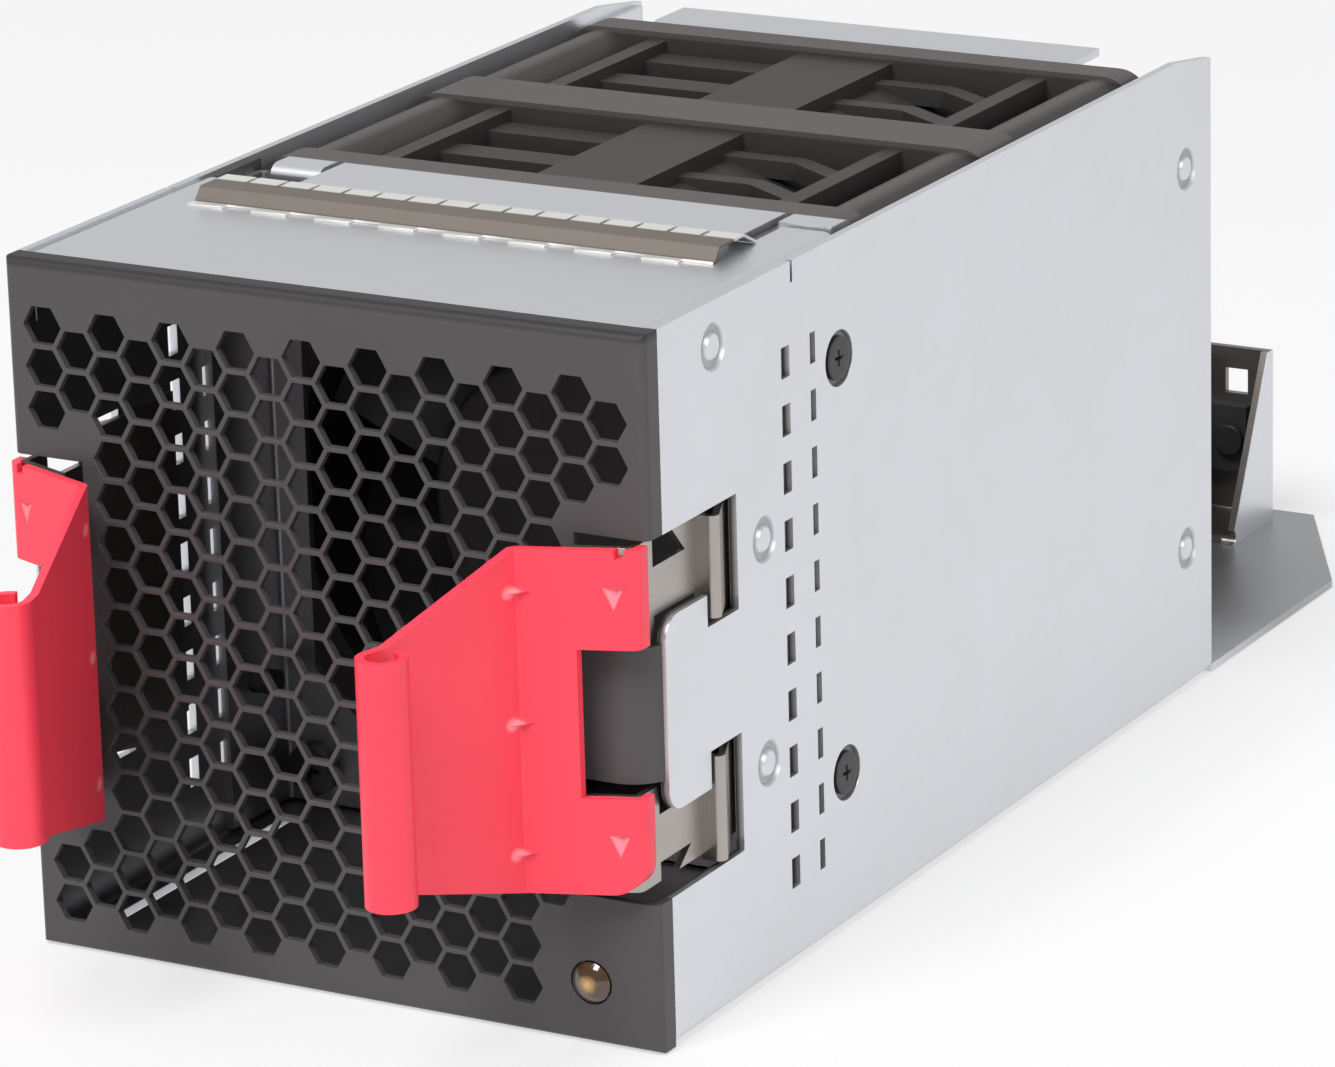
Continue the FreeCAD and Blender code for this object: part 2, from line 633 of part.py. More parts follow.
def rear_frame():
    """Frame behind the fans, with side flanges and a top strip that point back."""
    mid = INNER - SHEET / 2
    plane_y = FAN_END + SHEET / 2
    back = FAN_END + FRAME_FLANGE
    top = FAN_TOP - SHEET / 2
    left, right = FRAME_STRIP_LEFT_GAP - HALF, HALF - FRAME_STRIP_RIGHT_GAP
    wall = bent_strip([(-mid, back), (-mid, plane_y), (mid, plane_y), (mid, back)], SHEET, BEND,
                      FLOOR_BEND_TOP, top - BEND - FLOOR_BEND_TOP, "XY")
    strip = bent_strip([(plane_y, top - COVER_FLANGE), (plane_y, top), (plane_y + FRAME_STRIP_DEPTH, top)],
                       SHEET, BEND, left, right - left, "YZ")
    cuts = [fan_opening(FAN_END - 1, TONGUE_END)] + fan_holes(FAN_END - 1, TONGUE_END, FAN_HOLE_R)
    return fuse([wall, strip]).cut(Part.makeCompound(cuts))


def fan_frame(lean):
    """Moulded frame in the front fan's place: flanges, duct, posts, rails, ribs, struts and motor base."""
    start, end = FAN_FRONT, FAN_MIDDLE
    solid = [fan_flange(start), fan_flange(end - FAN_FLANGE), fan_rod(DUCT_R + DUCT_WALL, start, end)]
    solid += [rod(POST_R, start, end, "Y", at) for at in fan_corners()]
    band = box(-BAND_WIDTH / 2, BAND_WIDTH / 2, start, end, FAN_Z, FAN_TOP - RIB_BELOW_TOP)
    side = box(0, FAN_HALF_X - RIB_BELOW_TOP, start, end, FAN_Z - BAND_WIDTH / 2, FAN_Z + BAND_WIDTH / 2)
    solid += around_fan(band, 2) + around_fan(side, 2)
    solid += around_fan(Part.makeCompound(top_ribs(lean)), 2)
    bore = [fan_rod(DUCT_R, start - 1, end + 1)] + fan_holes(start - 1, end + 1, FAN_HOLE_R)
    shell = fuse(solid).cut(Part.makeCompound(bore))
    base_end = end - MOTOR_BASE_INSET
    base_start = base_end - MOTOR_BASE_THICKNESS
    strut = box(-STRUT_WIDTH / 2, STRUT_WIDTH / 2, base_end - STRUT_DEPTH, base_end,
                FAN_Z + MOTOR_BASE_R - 1, FAN_Z + DUCT_R + DUCT_WALL / 2)
    tube = fan_rod(BEARING_TUBE_R, bearing_start(), base_end)
    tube = tube.cut(fan_rod(BEARING_R, bearing_start(), base_start))
    base = fan_rod(MOTOR_BASE_R, base_start, base_end)
    base = base.cut(fan_rod(BEARING_R, base_start - 1, base_start + 1))
    return fuse([shell, base, tube] + around_fan(strut, STRUT_COUNT))


def top_ribs(lean):
    """Rails, left slats and right ribs, bent to the front or back, over the corners between the flanges."""
    start, end = FAN_FRONT + FAN_FLANGE / 2, FAN_MIDDLE - FAN_FLANGE / 2
    top = FAN_TOP - RIB_BELOW_TOP
    low = top - SLAT_DROP - RIB_HEIGHT
    inner = BAND_WIDTH / 2 - 1
    ribs = both_sides(box(RAIL_X - RAIL_WIDTH / 2, RAIL_X + RAIL_WIDTH / 2, start, end, low, top))
    pitch = (end - start) / SLAT_COUNT
    for i in range(SLAT_COUNT):
        y = start + (i + 0.5) * pitch
        ribs.append(box(-RAIL_X, -inner, y - SLAT_WIDTH / 2, y + SLAT_WIDTH / 2, low, low + RIB_HEIGHT))
    for share in BENT_RIB_SHARES:
        y = (start + end) / 2 + lean * (share - 0.5) * (end - start)
        path = [(inner, y), (BENT_RIB_KNEE, y), (RAIL_X, y - lean * BENT_RIB_BACK)]
        ribs.append(bent_strip(path, RAIL_WIDTH, RAIL_WIDTH, low, RIB_HEIGHT, "XY"))
    return ribs


def hub_end():
    return FAN_MIDDLE - MOTOR_BASE_INSET - STRUT_DEPTH - HUB_TO_STRUTS


def bearing_start():
    return FAN_FRONT + HUB_INSET + HUB_NOSE + BEARING_WIDTH + HUB_TO_STRUTS


def board_start():
    return FAN_MIDDLE - MOTOR_BASE_INSET - MOTOR_BASE_THICKNESS - BOARD_THICKNESS


def bearings():
    """Two ball bearings, pressed into the ends of the bearing tube."""
    base = FAN_MIDDLE - MOTOR_BASE_INSET - MOTOR_BASE_THICKNESS
    starts = bearing_start(), base - BEARING_WIDTH
    rings = [fan_ring(SHAFT_R + RUNNING_FIT, BEARING_R - PRESS_GAP, s, s + BEARING_WIDTH) for s in starts]
    return Part.makeCompound(rings)


def drive_board():
    start = board_start()
    return fan_ring(BEARING_TUBE_R + SCREW_GAP, MOTOR_BASE_R - 1, start, start + BOARD_THICKNESS)


def stator():
    """Core on the bearing tube, with wound poles."""
    start = hub_end() - STATOR_LENGTH
    end = hub_end() - HUB_TO_STRUTS
    core = fan_ring(BEARING_TUBE_R + PRESS_GAP, STATOR_RING_R, start, end)
    half = STATOR_RING_R / 3
    root = FAN_Z + STATOR_RING_R - POLE_BITE
    near, far = start + STATOR_END, end - STATOR_END
    tooth = box(-half / 2, half / 2, near, far, root, FAN_Z + STATOR_R - POLE_BITE)
    coil = box(-half, half, start, end, root, FAN_Z + STATOR_R - SHOE_THICKNESS)
    shoe = box(-SHOE_HALF_WIDTH, SHOE_HALF_WIDTH, near, far, FAN_Z + STATOR_R / 2, FAN_Z + STATOR_R)
    shoe = shoe.common(fan_ring(STATOR_R - SHOE_THICKNESS, STATOR_R, start, end))
    poles = [p for piece in (tooth, coil, shoe) for p in around_fan(piece, STATOR_POLES)]
    return fuse([core] + poles)


def magnet_ring():
    return fan_ring(MAGNET_R - MAGNET_WALL, MAGNET_R, FAN_FRONT + HUB_INSET + HUB_NOSE, hub_end() - 1)


def shaft():
    base = FAN_MIDDLE - MOTOR_BASE_INSET - MOTOR_BASE_THICKNESS
    return fan_rod(SHAFT_R, FAN_FRONT + HUB_INSET + HUB_NOSE / 2, base - RIB_BELOW_TOP)


def blade_section(distance_out, angle, chord):
    """Thin cambered section, at a distance from the axis, turned by its angle from the axis."""
    middle = (FAN_FRONT + HUB_INSET + hub_end()) / 2
    a = angle * pi / 180
    along = V(sin(a), cos(a), 0)
    across = V(cos(a), -sin(a), 0)
    centre = V(0, middle, FAN_Z + distance_out)
    nose = centre - along * (chord / 2)
    tail = centre + along * (chord / 2)
    back = centre + across * (BLADE_CAMBER + BLADE_THICKNESS / 2)
    belly = centre + across * (BLADE_CAMBER - BLADE_THICKNESS / 2)
    return Part.Wire([Part.Arc(nose, back, tail).toShape(), Part.Arc(tail, belly, nose).toShape()])


def impeller(blades):
    """Hub cup with twisted blades, trimmed to the hub and to the duct."""
    start, end = FAN_FRONT + HUB_INSET, hub_end()
    cup = fan_rod(HUB_R, start, end)
    rim = [e for e in cup.Edges if abs(e.BoundBox.YMax - start) < 1e-6]
    cup = cup.makeFillet(HUB_NOSE / 2, rim)
    boss = fan_rod(SHAFT_R + HUB_NOSE, start + 1, bearing_start() - HUB_TO_STRUTS)
    cup = cup.cut(fan_rod(CUP_R, start + HUB_NOSE, end + 1)).fuse(boss)
    cup = cup.cut(fan_rod(SHAFT_R + PRESS_GAP, start + HUB_NOSE / 2, end))
    depth = end - start - 2 * BLADE_EDGE_GAP
    root_chord = depth / cos(BLADE_ROOT_ANGLE * pi / 180)
    tip_chord = BLADE_TIP_SHARE * depth / cos(BLADE_TIP_ANGLE * pi / 180)
    root = blade_section(HUB_R - HUB_WALL * 3, BLADE_ROOT_ANGLE, root_chord)
    tip = blade_section(DUCT_R + 2, BLADE_TIP_ANGLE, tip_chord)
    blade = Part.makeLoft([root, tip], True, True)
    blade = blade.common(fan_ring(HUB_R - HUB_WALL / 2, TIP_R, start, end))
    return fuse([cup] + around_fan(blade, blades))


def rear(shape):
    """The rear fan's piece: the front fan's, turned end for end across the middle."""
    return shape.mirror(V(0, FAN_MIDDLE, 0), V(0, 1, 0))


def grip_path():
    """Middle line of the right grip in plan: return flange, base, flare and rolled edge."""
    half = GRIP_SHEET / 2
    corner = (SPRING_X + SPRING_SHEET / 2 + half, GRIP_CORNER_Y + half)
    bend = (GRIP_BEND_X, GRIP_BEND_Y + half)
    radius = GRIP_CURL_R - half
    centre = (GRIP_TIP_X + GRIP_CURL_R, GRIP_CURL_R - GRIP_REACH)
    gap = distance(bend, centre)
    to_centre = atan2(centre[1] - bend[1], centre[0] - bend[0])
    heading = to_centre - atan2(radius, sqrt(gap ** 2 - radius ** 2))
    path = [(corner[0], half), corner, bend]
    reach = sqrt(gap ** 2 - radius ** 2) + radius
    point = bend
    for quarter in range(4):
        point = (point[0] + reach * cos(heading), point[1] + reach * sin(heading))
        path.append(point)
        heading += pi / 2
        reach = 2 * radius if quarter < 2 else radius + GRIP_SHEET / 4
    return path, radius


def right_grip():
    """Red squeeze grip: a tapered sheet, rolled at its front edge and notched for the corner strap."""
    path, curl = grip_path()
    flat = bent_strip(path[:3] + [path[3]], GRIP_SHEET, BEND, GRIP_LOW, GRIP_HIGH - GRIP_LOW, "XY")
    roll_start = (path[2][0] + path[3][0]) / 2, (path[2][1] + path[3][1]) / 2
    roll = bent_strip([roll_start] + path[3:], GRIP_SHEET, curl, GRIP_LOW, GRIP_HIGH - GRIP_LOW, "XY")
    flat = flat.common(box(0, HALF, roll_start[1], HALF, 0, BODY_HEIGHT))
    roll_y = 2 * GRIP_CURL_R - GRIP_REACH
    front = -GRIP_REACH - 1
    taper = prism([(RIM_DEPTH, GRIP_LOW), (GRIP_BEND_Y, GRIP_LOW), (roll_y, GRIP_TIP_LOW),
                   (front, GRIP_TIP_LOW), (front, GRIP_TIP_HIGH), (roll_y, GRIP_TIP_HIGH),
                   (GRIP_BEND_Y, GRIP_HIGH), (RIM_DEPTH, GRIP_HIGH)], 0, HALF, "YZ")
    notch = box(GRIP_NOTCH_X, HALF + 1, GRIP_BEND_Y, RIM_DEPTH, STRAP_LOW - GRIP_NOTCH_GAP,
                STRAP_HIGH + GRIP_NOTCH_GAP)
    cuts = [notch] + toe_rods(RIVET_R + PRESS_GAP, 0, GRIP_SHEET) + corner_dents()
    cuts.append(box(SPRING_X - GRIP_RELIEF, SPRING_X, GRIP_BEND_Y, RIM_DEPTH, GRIP_HIGH - GRIP_RELIEF,
                    GRIP_HIGH + GRIP_RELIEF))
    outer = SPRING_X + SPRING_SHEET / 2 + GRIP_SHEET
    foot_x, foot_z = outer - GRIP_FOOT_R, GRIP_LOW + GRIP_FOOT_R
    foot = box(foot_x, outer + 1, GRIP_BEND_Y, RIM_DEPTH, GRIP_LOW - 1, foot_z)
    cuts.append(foot.cut(rod(GRIP_FOOT_R, GRIP_BEND_Y, RIM_DEPTH, "Y", (foot_x, foot_z))))
    body = fuse([flat, roll]).common(taper).cut(Part.makeCompound(cuts))
    return fuse([body] + bend_darts())


def tetrahedron(a, b, c, d):
    sides = ((a, b, c), (a, b, d), (b, c, d), (c, a, d))
    return Part.makeSolid(Part.makeShell([Part.Face(Part.makePolygon([p, q, r, p])) for p, q, r in sides]))


def base_point(out, depth, z):
    """Point on the grip's base: so far from the corner bend, and so deep behind the middle of the sheet."""
    corner, bend = grip_path()[0][1:3]
    along = direction(corner, bend)
    return V(corner[0] + along[0] * out + along[1] * depth,
             corner[1] + along[1] * out - along[0] * depth, z)


def corner_dents():
    """Two triangular dents, wide at the top, in the base beside the corner bend."""
    face = -GRIP_SHEET / 2
    dents = []
    for z in arm_middles():
        high, low = z + DENT_HEIGHT / 2, z - DENT_HEIGHT / 2
        dents.append(tetrahedron(base_point(DENT_FROM_CORNER - DENT_WIDTH / 2, face, high),
                                 base_point(DENT_FROM_CORNER + DENT_WIDTH / 2, face, high),
                                 base_point(DENT_FROM_CORNER, face, low),
                                 base_point(DENT_FROM_CORNER, face + DENT_DEPTH, high)))
    return dents


def bend_darts():
    """Three small stamped darts across the bend between the base and the flare."""
    path = grip_path()[0]
    corner, bend, tip = path[1], path[2], path[3]
    half = GRIP_SHEET / 2
    a = direction(bend, corner)
    b = direction(bend, tip)
    inside = (bend[0] + (a[0] + b[0]) * half / 2, bend[1] + (a[1] + b[1]) * half / 2)
    along_base = (inside[0] + a[0] * DART_LEG, inside[1] + a[1] * DART_LEG)
    along_flare = (inside[0] + b[0] * DART_LEG, inside[1] + b[1] * DART_LEG)
    middle = (GRIP_LOW + GRIP_HIGH) / 2
    heights = (middle - DART_SPACING, middle, middle + DART_SPACING)
    return [tetrahedron(V(*inside, z - DART_WIDTH / 2), V(*inside, z + DART_WIDTH / 2), V(*along_base, z),
                        V(*along_flare, z)) for z in heights]


def toe_rods(radius, start, end):
    """Rods across the grip's base where the spring's toes are riveted, between two depths."""
    at = SPRING_TOE / 2 + BEND
    rods = []
    for z in arm_middles():
        first = base_point(at, start, z)
        rods.append(Part.makeCylinder(radius, end - start, first, base_point(at, end, z) - first))
    return rods


def arm_spans():
    """Heights of the lower and upper arm of a latch, each side of the corner strap."""
    return ((GRIP_LOW, STRAP_LOW - GRIP_NOTCH_GAP), (STRAP_HIGH + GRIP_NOTCH_GAP, GRIP_HIGH))


def arm_middles():
    return [(low + high) / 2 for low, high in arm_spans()]


def right_latch_spring():
    """Flexing part of the latch leaf: web with two teeth, and two arms with tabs and toes."""
    corner, bend = grip_path()[0][1:3]
    along = direction(corner, bend)
    lap = (GRIP_SHEET + SPRING_SHEET) / 2
    toe_corner = (SPRING_X, corner[1] + lap / abs(along[0]) + (SPRING_X - corner[0]) * along[1] / along[0])
    toe_end = (toe_corner[0] + along[0] * SPRING_TOE, toe_corner[1] + along[1] * SPRING_TOE)
    inside, outside = SPRING_X - SPRING_SHEET / 2, SPRING_X + SPRING_SHEET / 2
    pieces = [box(inside, outside, TOOTH_FRONT, FLEX_Y - FLEX_GAP, GRIP_LOW, GRIP_HIGH)]
    for low, high in arm_spans():
        pieces.append(bent_strip([(SPRING_X, ARM_FRONT), toe_corner, toe_end], SPRING_SHEET, SPRING_SHEET,
                                 low, high - low, "XY"))
    sides = ((LAND_LOW - ARM_LAND_GAP, -1, GRIP_LOW), (LAND_HIGH + ARM_LAND_GAP, 1, GRIP_HIGH))
    for near, outward, edge in sides:
        far = near + outward * ARM_HEIGHT
        pieces.append(box(inside, outside, ARM_FRONT - 1, TOOTH_FRONT + 1, min(near, far), max(near, far)))
        pieces.append(prism([(TAB_FRONT, edge), (TAB_BACK, edge), (TAB_BACK, far - outward),
                             (TAB_FOOT, far - outward)], inside, SPRING_SHEET, "YZ"))
    for low, high in ((CORNER_CUT_LOW, WINDOW_INNER_LOW), (WINDOW_INNER_HIGH, CORNER_CUT_HIGH)):
        tooth = bent_strip([(SPRING_X, TOOTH_BACK), (HALF + TOOTH_PROUD - SPRING_SHEET / 2, TOOTH_FRONT),
                            (SPRING_X, TOOTH_FRONT)], SPRING_SHEET, TOOTH_BEND, low + TOOTH_MARGIN,
                           high - low - 2 * TOOTH_MARGIN, "XY")
        pieces.append(tooth)
    holes = toe_rods(RIVET_R + PRESS_GAP, 0, GRIP_SHEET + SPRING_SHEET)
    return fuse(pieces).cut(Part.makeCompound(holes))


def right_latch_rivets():
    """Rivets from the grip's base through the spring's toes, with their heads behind."""
    back = GRIP_SHEET / 2 + SPRING_SHEET
    shanks = toe_rods(RIVET_R, 0, back)
    heads = toe_rods(RIVET_HEAD_R, back, back + RIVET_HEAD)
    return Part.makeCompound([fuse([s, h]) for s, h in zip(shanks, heads)])


def right_latch_foot():
    """Rear end of the latch leaf, clinched inside the wall behind the windows."""
    start = FLEX_Y + FLEX_GAP
    return box(INNER - SPRING_SHEET, INNER, start, start + FOOT_LENGTH, GRIP_LOW, GRIP_HIGH)


def side_screws():
    """Four low-head screws that hold the bracket's flanges to the walls."""
    screws = []
    for z in SCREW_Z:
        at = (SCREW_Y, z)
        head = rod(SCREW_HEAD_R, HALF - SCREW_HEAD, HALF, "X", at)
        shank = rod(SCREW_R, HALF - SCREW_LENGTH, HALF - SCREW_HEAD, "X", at)
        screws += both_sides(fuse([head, shank]))
    return Part.makeCompound(screws)


def fan_screws():
    """Screws through the bracket into the front fan and through the rear frame into the rear fan."""
    face = FAN_FRONT - SHEET
    front = []
    for at in fan_corners():
        head = rod(FAN_SCREW_HEAD_R, face - FAN_SCREW_HEAD, face, "Y", at)
        shank = rod(FAN_SCREW_R, face, face + FAN_SCREW_LENGTH, "Y", at)
        front.append(fuse([head, shank]))
    return Part.makeCompound(front + [rear(screw) for screw in front])


def plate_rivets():
    """Places (X, Y) of the rivets that hold the connector bracket to the tongue."""
    return [(sx * PLATE_RIVET_X, PLATE_Y - PLATE_RIVET_INSET) for sx in (-1, 1)]


def connector_bracket():
    """Upright plate on the tongue, with a foot, two gussets and a window for the connector."""
    low = 1.5 * SHEET
    mid = PLATE_Y - SHEET / 2
    plate = bent_strip([(PLATE_Y - PLATE_FOOT, low), (mid, low), (mid, PLATE_HEIGHT)], SHEET, BEND,
                       -PLATE_HALF_WIDTH, 2 * PLATE_HALF_WIDTH, "YZ")
    gusset = prism([(PLATE_Y - PLATE_FOOT, SHEET), (PLATE_Y, SHEET), (PLATE_Y, PLATE_HEIGHT),
                    (PLATE_Y - GUSSET_TOP, PLATE_HEIGHT), (PLATE_Y - PLATE_FOOT, 2 * SHEET)],
                   PLATE_HALF_WIDTH - SHEET, SHEET, "YZ")
    half = PLUG_HALF_WIDTH + PLUG_GAP
    tall = PLUG_HEIGHT / 2 + PLUG_GAP
    before, behind = PLATE_Y - 3 * SHEET, PLATE_Y + 1
    window = box(-half, half, before, behind, PLUG_Z - tall, PLUG_Z + tall)
    holes = [rod(RIVET_R + SCREW_GAP, 0, 3 * SHEET, "Z", at) for at in plate_rivets()]
    holes += [rod(RIVET_R + SCREW_GAP, before, behind, "Y", at) for at in plug_screw_places()]
    holes += both_sides(box(PLUG_SCREW_X - SIGHT_WIDTH / 2, PLUG_SCREW_X + SIGHT_WIDTH / 2, before, behind,
                            SIGHT_LOW, SIGHT_HIGH))
    holes += both_sides(rod(GUSSET_RELIEF_R, PLATE_HALF_WIDTH - 2 * SHEET, PLATE_HALF_WIDTH + 1, "X",
                            (PLATE_Y - PLATE_FOOT, 2 * SHEET)))
    return fuse([plate] + both_sides(gusset)).cut(Part.makeCompound([window] + holes))


def plug_screw_places():
    return [(sx * PLUG_SCREW_X, PLUG_Z) for sx in (-1, 1)]


def bracket_rivets():
    rivets = []
    for at in plate_rivets():
        shank = rod(RIVET_R, 0, 2 * SHEET, "Z", at)
        head = rod(RIVET_HEAD_R, 2 * SHEET, 2 * SHEET + RIVET_HEAD, "Z", at)
        rivets.append(fuse([shank, head]))
    return Part.makeCompound(rivets)


def connector_housing():
    """Blind-mate plug: a block through the plate's window, open at the back, with a mounting flange."""
    front = PLATE_Y - SHEET
    low, high = PLUG_Z - PLUG_HEIGHT / 2, PLUG_Z + PLUG_HEIGHT / 2
    block = box(-PLUG_HALF_WIDTH, PLUG_HALF_WIDTH, front - PLUG_FRONT, PLATE_Y + PLUG_REAR, low, high)
    edges = [e for e in block.Edges if abs(e.tangentAt(e.FirstParameter).y) > 0.9]
    block = block.makeFillet(PLUG_WALL, edges)
    reach = PLUG_SCREW_X + PLUG_FLANGE / 2
    flange = box(-reach, reach, front - PLUG_FLANGE_DEPTH, front, low, high)
    cavity = box(PLUG_WALL - PLUG_HALF_WIDTH, PLUG_HALF_WIDTH - PLUG_WALL, PLATE_Y, PLATE_Y + PLUG_REAR + 1,
                 low + PLUG_WALL, high - PLUG_WALL)
    slots = [contact_blade(x, PLUG_GAP) for x in contact_places()]
    before = front - 2 * PLUG_FLANGE_DEPTH
    holes = [rod(RIVET_R + SCREW_GAP, before, PLATE_Y, "Y", at) for at in plug_screw_places()]
    return fuse([block, flange]).cut(Part.makeCompound([cavity] + slots + holes))


def contact_places():
    pitch = 2 * (PLUG_HALF_WIDTH - PLUG_WALL) / CONTACT_COUNT
    return [(i - (CONTACT_COUNT - 1) / 2) * pitch for i in range(CONTACT_COUNT)]


def contact_blade(x, gap):
    front = PLATE_Y - SHEET - PLUG_FRONT - BOARD_THICKNESS
    return box(x - CONTACT_WIDTH / 2 - gap, x + CONTACT_WIDTH / 2 + gap, front - gap,
               PLATE_Y + PLUG_REAR - PLUG_WALL + gap, PLUG_Z - CONTACT_THICKNESS / 2 - gap,
               PLUG_Z + CONTACT_THICKNESS / 2 + gap)


def connector_contacts():
    return Part.makeCompound([contact_blade(x, 0) for x in contact_places()])


def connector_board():
    """Board on the front of the plug, with the contacts soldered through it."""
    end = PLATE_Y - SHEET - PLUG_FRONT
    board = box(-PLUG_HALF_WIDTH, PLUG_HALF_WIDTH, end - BOARD_THICKNESS, end,
                PLUG_Z - PLUG_HEIGHT, PLUG_Z + PLUG_HEIGHT)
    return board.cut(Part.makeCompound([contact_blade(x, PLUG_GAP) for x in contact_places()]))


def connector_screws():
    """Two screws through the plug's flange and the plate."""
    front = PLATE_Y - SHEET - PLUG_FLANGE_DEPTH
    screws = []
    for at in plug_screw_places():
        head = rod(RIVET_HEAD_R, front - SHEET, front, "Y", at)
        shank = rod(RIVET_R, front, PLATE_Y + SHEET, "Y", at)
        screws.append(fuse([head, shank]))
    return Part.makeCompound(screws)


def pieces():
    """Every node of the tray, by name."""
    nodes = {
        "sleeve": sleeve(),
        "front_panel": front_panel(),
        "top_cover": top_cover(),
        "finger_gasket": finger_gasket(),
        "fan_bracket": fan_bracket(),
        "rear_frame": rear_frame(),
        "status_light": status_light(),
        "light_board": light_board(),
        "side_screws": side_screws(),
        "fan_screws": fan_screws(),
        "connector_bracket": connector_bracket(),
        "bracket_rivets": bracket_rivets(),
        "connector_housing": connector_housing(),
        "connector_contacts": connector_contacts(),
        "connector_board": connector_board(),
        "connector_screws": connector_screws(),
    }
    fan = {"fan_bearings": bearings(), "fan_board": drive_board(), "stator": stator(),
           "magnet_ring": magnet_ring(), "shaft": shaft()}
    for name, shape in fan.items():
        nodes["front_" + name] = shape
        nodes["rear_" + name] = rear(shape)
    nodes["front_fan_frame"] = fan_frame(1)
    nodes["rear_fan_frame"] = rear(fan_frame(-1))
    nodes["front_impeller"] = impeller(FRONT_BLADES)
    nodes["rear_impeller"] = rear(impeller(REAR_BLADES))
    latch = {"grip": right_grip(), "latch_spring": right_latch_spring(),
             "latch_rivets": right_latch_rivets(), "latch_foot": right_latch_foot()}
    for name, shape in latch.items():
        nodes["right_" + name] = shape
        nodes["left_" + name] = mirrored(shape)
    return nodes


os.makedirs("parts", exist_ok=True)
for node, shape in pieces().items():
    shape.translate(V(0, -MIDDLE_Y, 0))
    shape.exportStep("parts/" + node + ".step")
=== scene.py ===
import json
from math import cos, radians, sin

import bpy
from mathutils import Matrix, Vector

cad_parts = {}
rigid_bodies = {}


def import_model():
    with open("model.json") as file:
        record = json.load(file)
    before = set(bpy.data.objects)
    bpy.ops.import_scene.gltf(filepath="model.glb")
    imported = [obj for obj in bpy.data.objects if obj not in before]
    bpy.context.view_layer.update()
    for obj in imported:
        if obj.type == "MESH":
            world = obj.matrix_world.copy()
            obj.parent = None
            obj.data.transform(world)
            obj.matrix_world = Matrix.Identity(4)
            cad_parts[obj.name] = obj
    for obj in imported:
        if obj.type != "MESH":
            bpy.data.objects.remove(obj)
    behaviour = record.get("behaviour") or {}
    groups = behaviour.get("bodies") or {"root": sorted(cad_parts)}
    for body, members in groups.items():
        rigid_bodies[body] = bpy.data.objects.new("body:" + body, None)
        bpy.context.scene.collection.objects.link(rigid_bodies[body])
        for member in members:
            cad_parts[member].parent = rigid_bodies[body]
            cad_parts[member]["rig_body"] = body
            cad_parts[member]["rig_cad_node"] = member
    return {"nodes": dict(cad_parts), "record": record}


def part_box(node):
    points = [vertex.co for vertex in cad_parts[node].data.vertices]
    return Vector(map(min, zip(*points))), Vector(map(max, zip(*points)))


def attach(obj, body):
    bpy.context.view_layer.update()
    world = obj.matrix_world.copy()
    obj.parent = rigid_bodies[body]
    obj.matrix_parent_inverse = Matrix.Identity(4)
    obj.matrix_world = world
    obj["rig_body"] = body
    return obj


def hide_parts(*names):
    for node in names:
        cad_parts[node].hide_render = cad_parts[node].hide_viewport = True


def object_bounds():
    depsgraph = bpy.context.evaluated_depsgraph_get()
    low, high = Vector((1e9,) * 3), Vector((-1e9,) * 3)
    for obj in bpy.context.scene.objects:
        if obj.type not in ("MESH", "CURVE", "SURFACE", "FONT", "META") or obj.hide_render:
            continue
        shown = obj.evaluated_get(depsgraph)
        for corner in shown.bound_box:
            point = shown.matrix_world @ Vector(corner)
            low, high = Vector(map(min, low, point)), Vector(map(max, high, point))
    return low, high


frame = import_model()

MM = 0.001
CAD_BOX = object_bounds()

# Camera, as the photograph sees the tray: its target lies in the plane of the front panel
VIEW_AZIMUTH = 29.47
VIEW_ELEVATION = 17.45
VIEW_ROLL = -1.58
VIEW_DISTANCE = 689.3 * MM
TARGET_X = 42.32 * MM
TARGET_Z = 58.94 * MM
PHOTO_WIDTH = 1335
FOCAL_PIXELS = 6617.3
SENSOR = 36.0
CLIP_NEAR = 0.01
CLIP_FAR = 50.0

# Stage and light, in metres and watts; the sky turns from dim to bright between two shares of its depth
FLOOR_SIZE = 8.0
FLOOR_DROP = 0.2 * MM
FLOOR_WHITE_SHARE = 0.6
SEEN_RAYS = ("Is Camera Ray", "Is Glossy Ray", "Is Transmission Ray")
SKY_BACK = 0.63
SKY_FRONT = 0.24
SKY_DIM = 0.3
SKY_BRIGHT = 0.7
LAMP_AIM = (0, 0, 0.04)
KEY_PLACE = (-0.1, -1.25, 1.75)
KEY_SIZE = 1.0
KEY_POWER = 52.0
FILL_PLACE = (1.6, -0.5, 0.9)
FILL_SIZE = 0.9
FILL_POWER = 9.5

# Edges and welds of the dressed pieces, and how far the normal of an upright or a level face points up
SHEET_EDGE = 0.14 * MM
FINE_EDGE = 0.05 * MM
MOULDED_EDGE = 0.3 * MM
EDGE_STEPS = 2
EDGE_ANGLE = radians(28)
SMOOTH_ANGLE = radians(35)
FLAT_ANGLE = radians(0.8)
WELD = 0.002 * MM
ROLL_SEAM_Y = -103.87 * MM
ROLL_SEAM = 0.2 * MM
UPRIGHT_BELOW = 0.5
LEVEL_ABOVE = 0.9

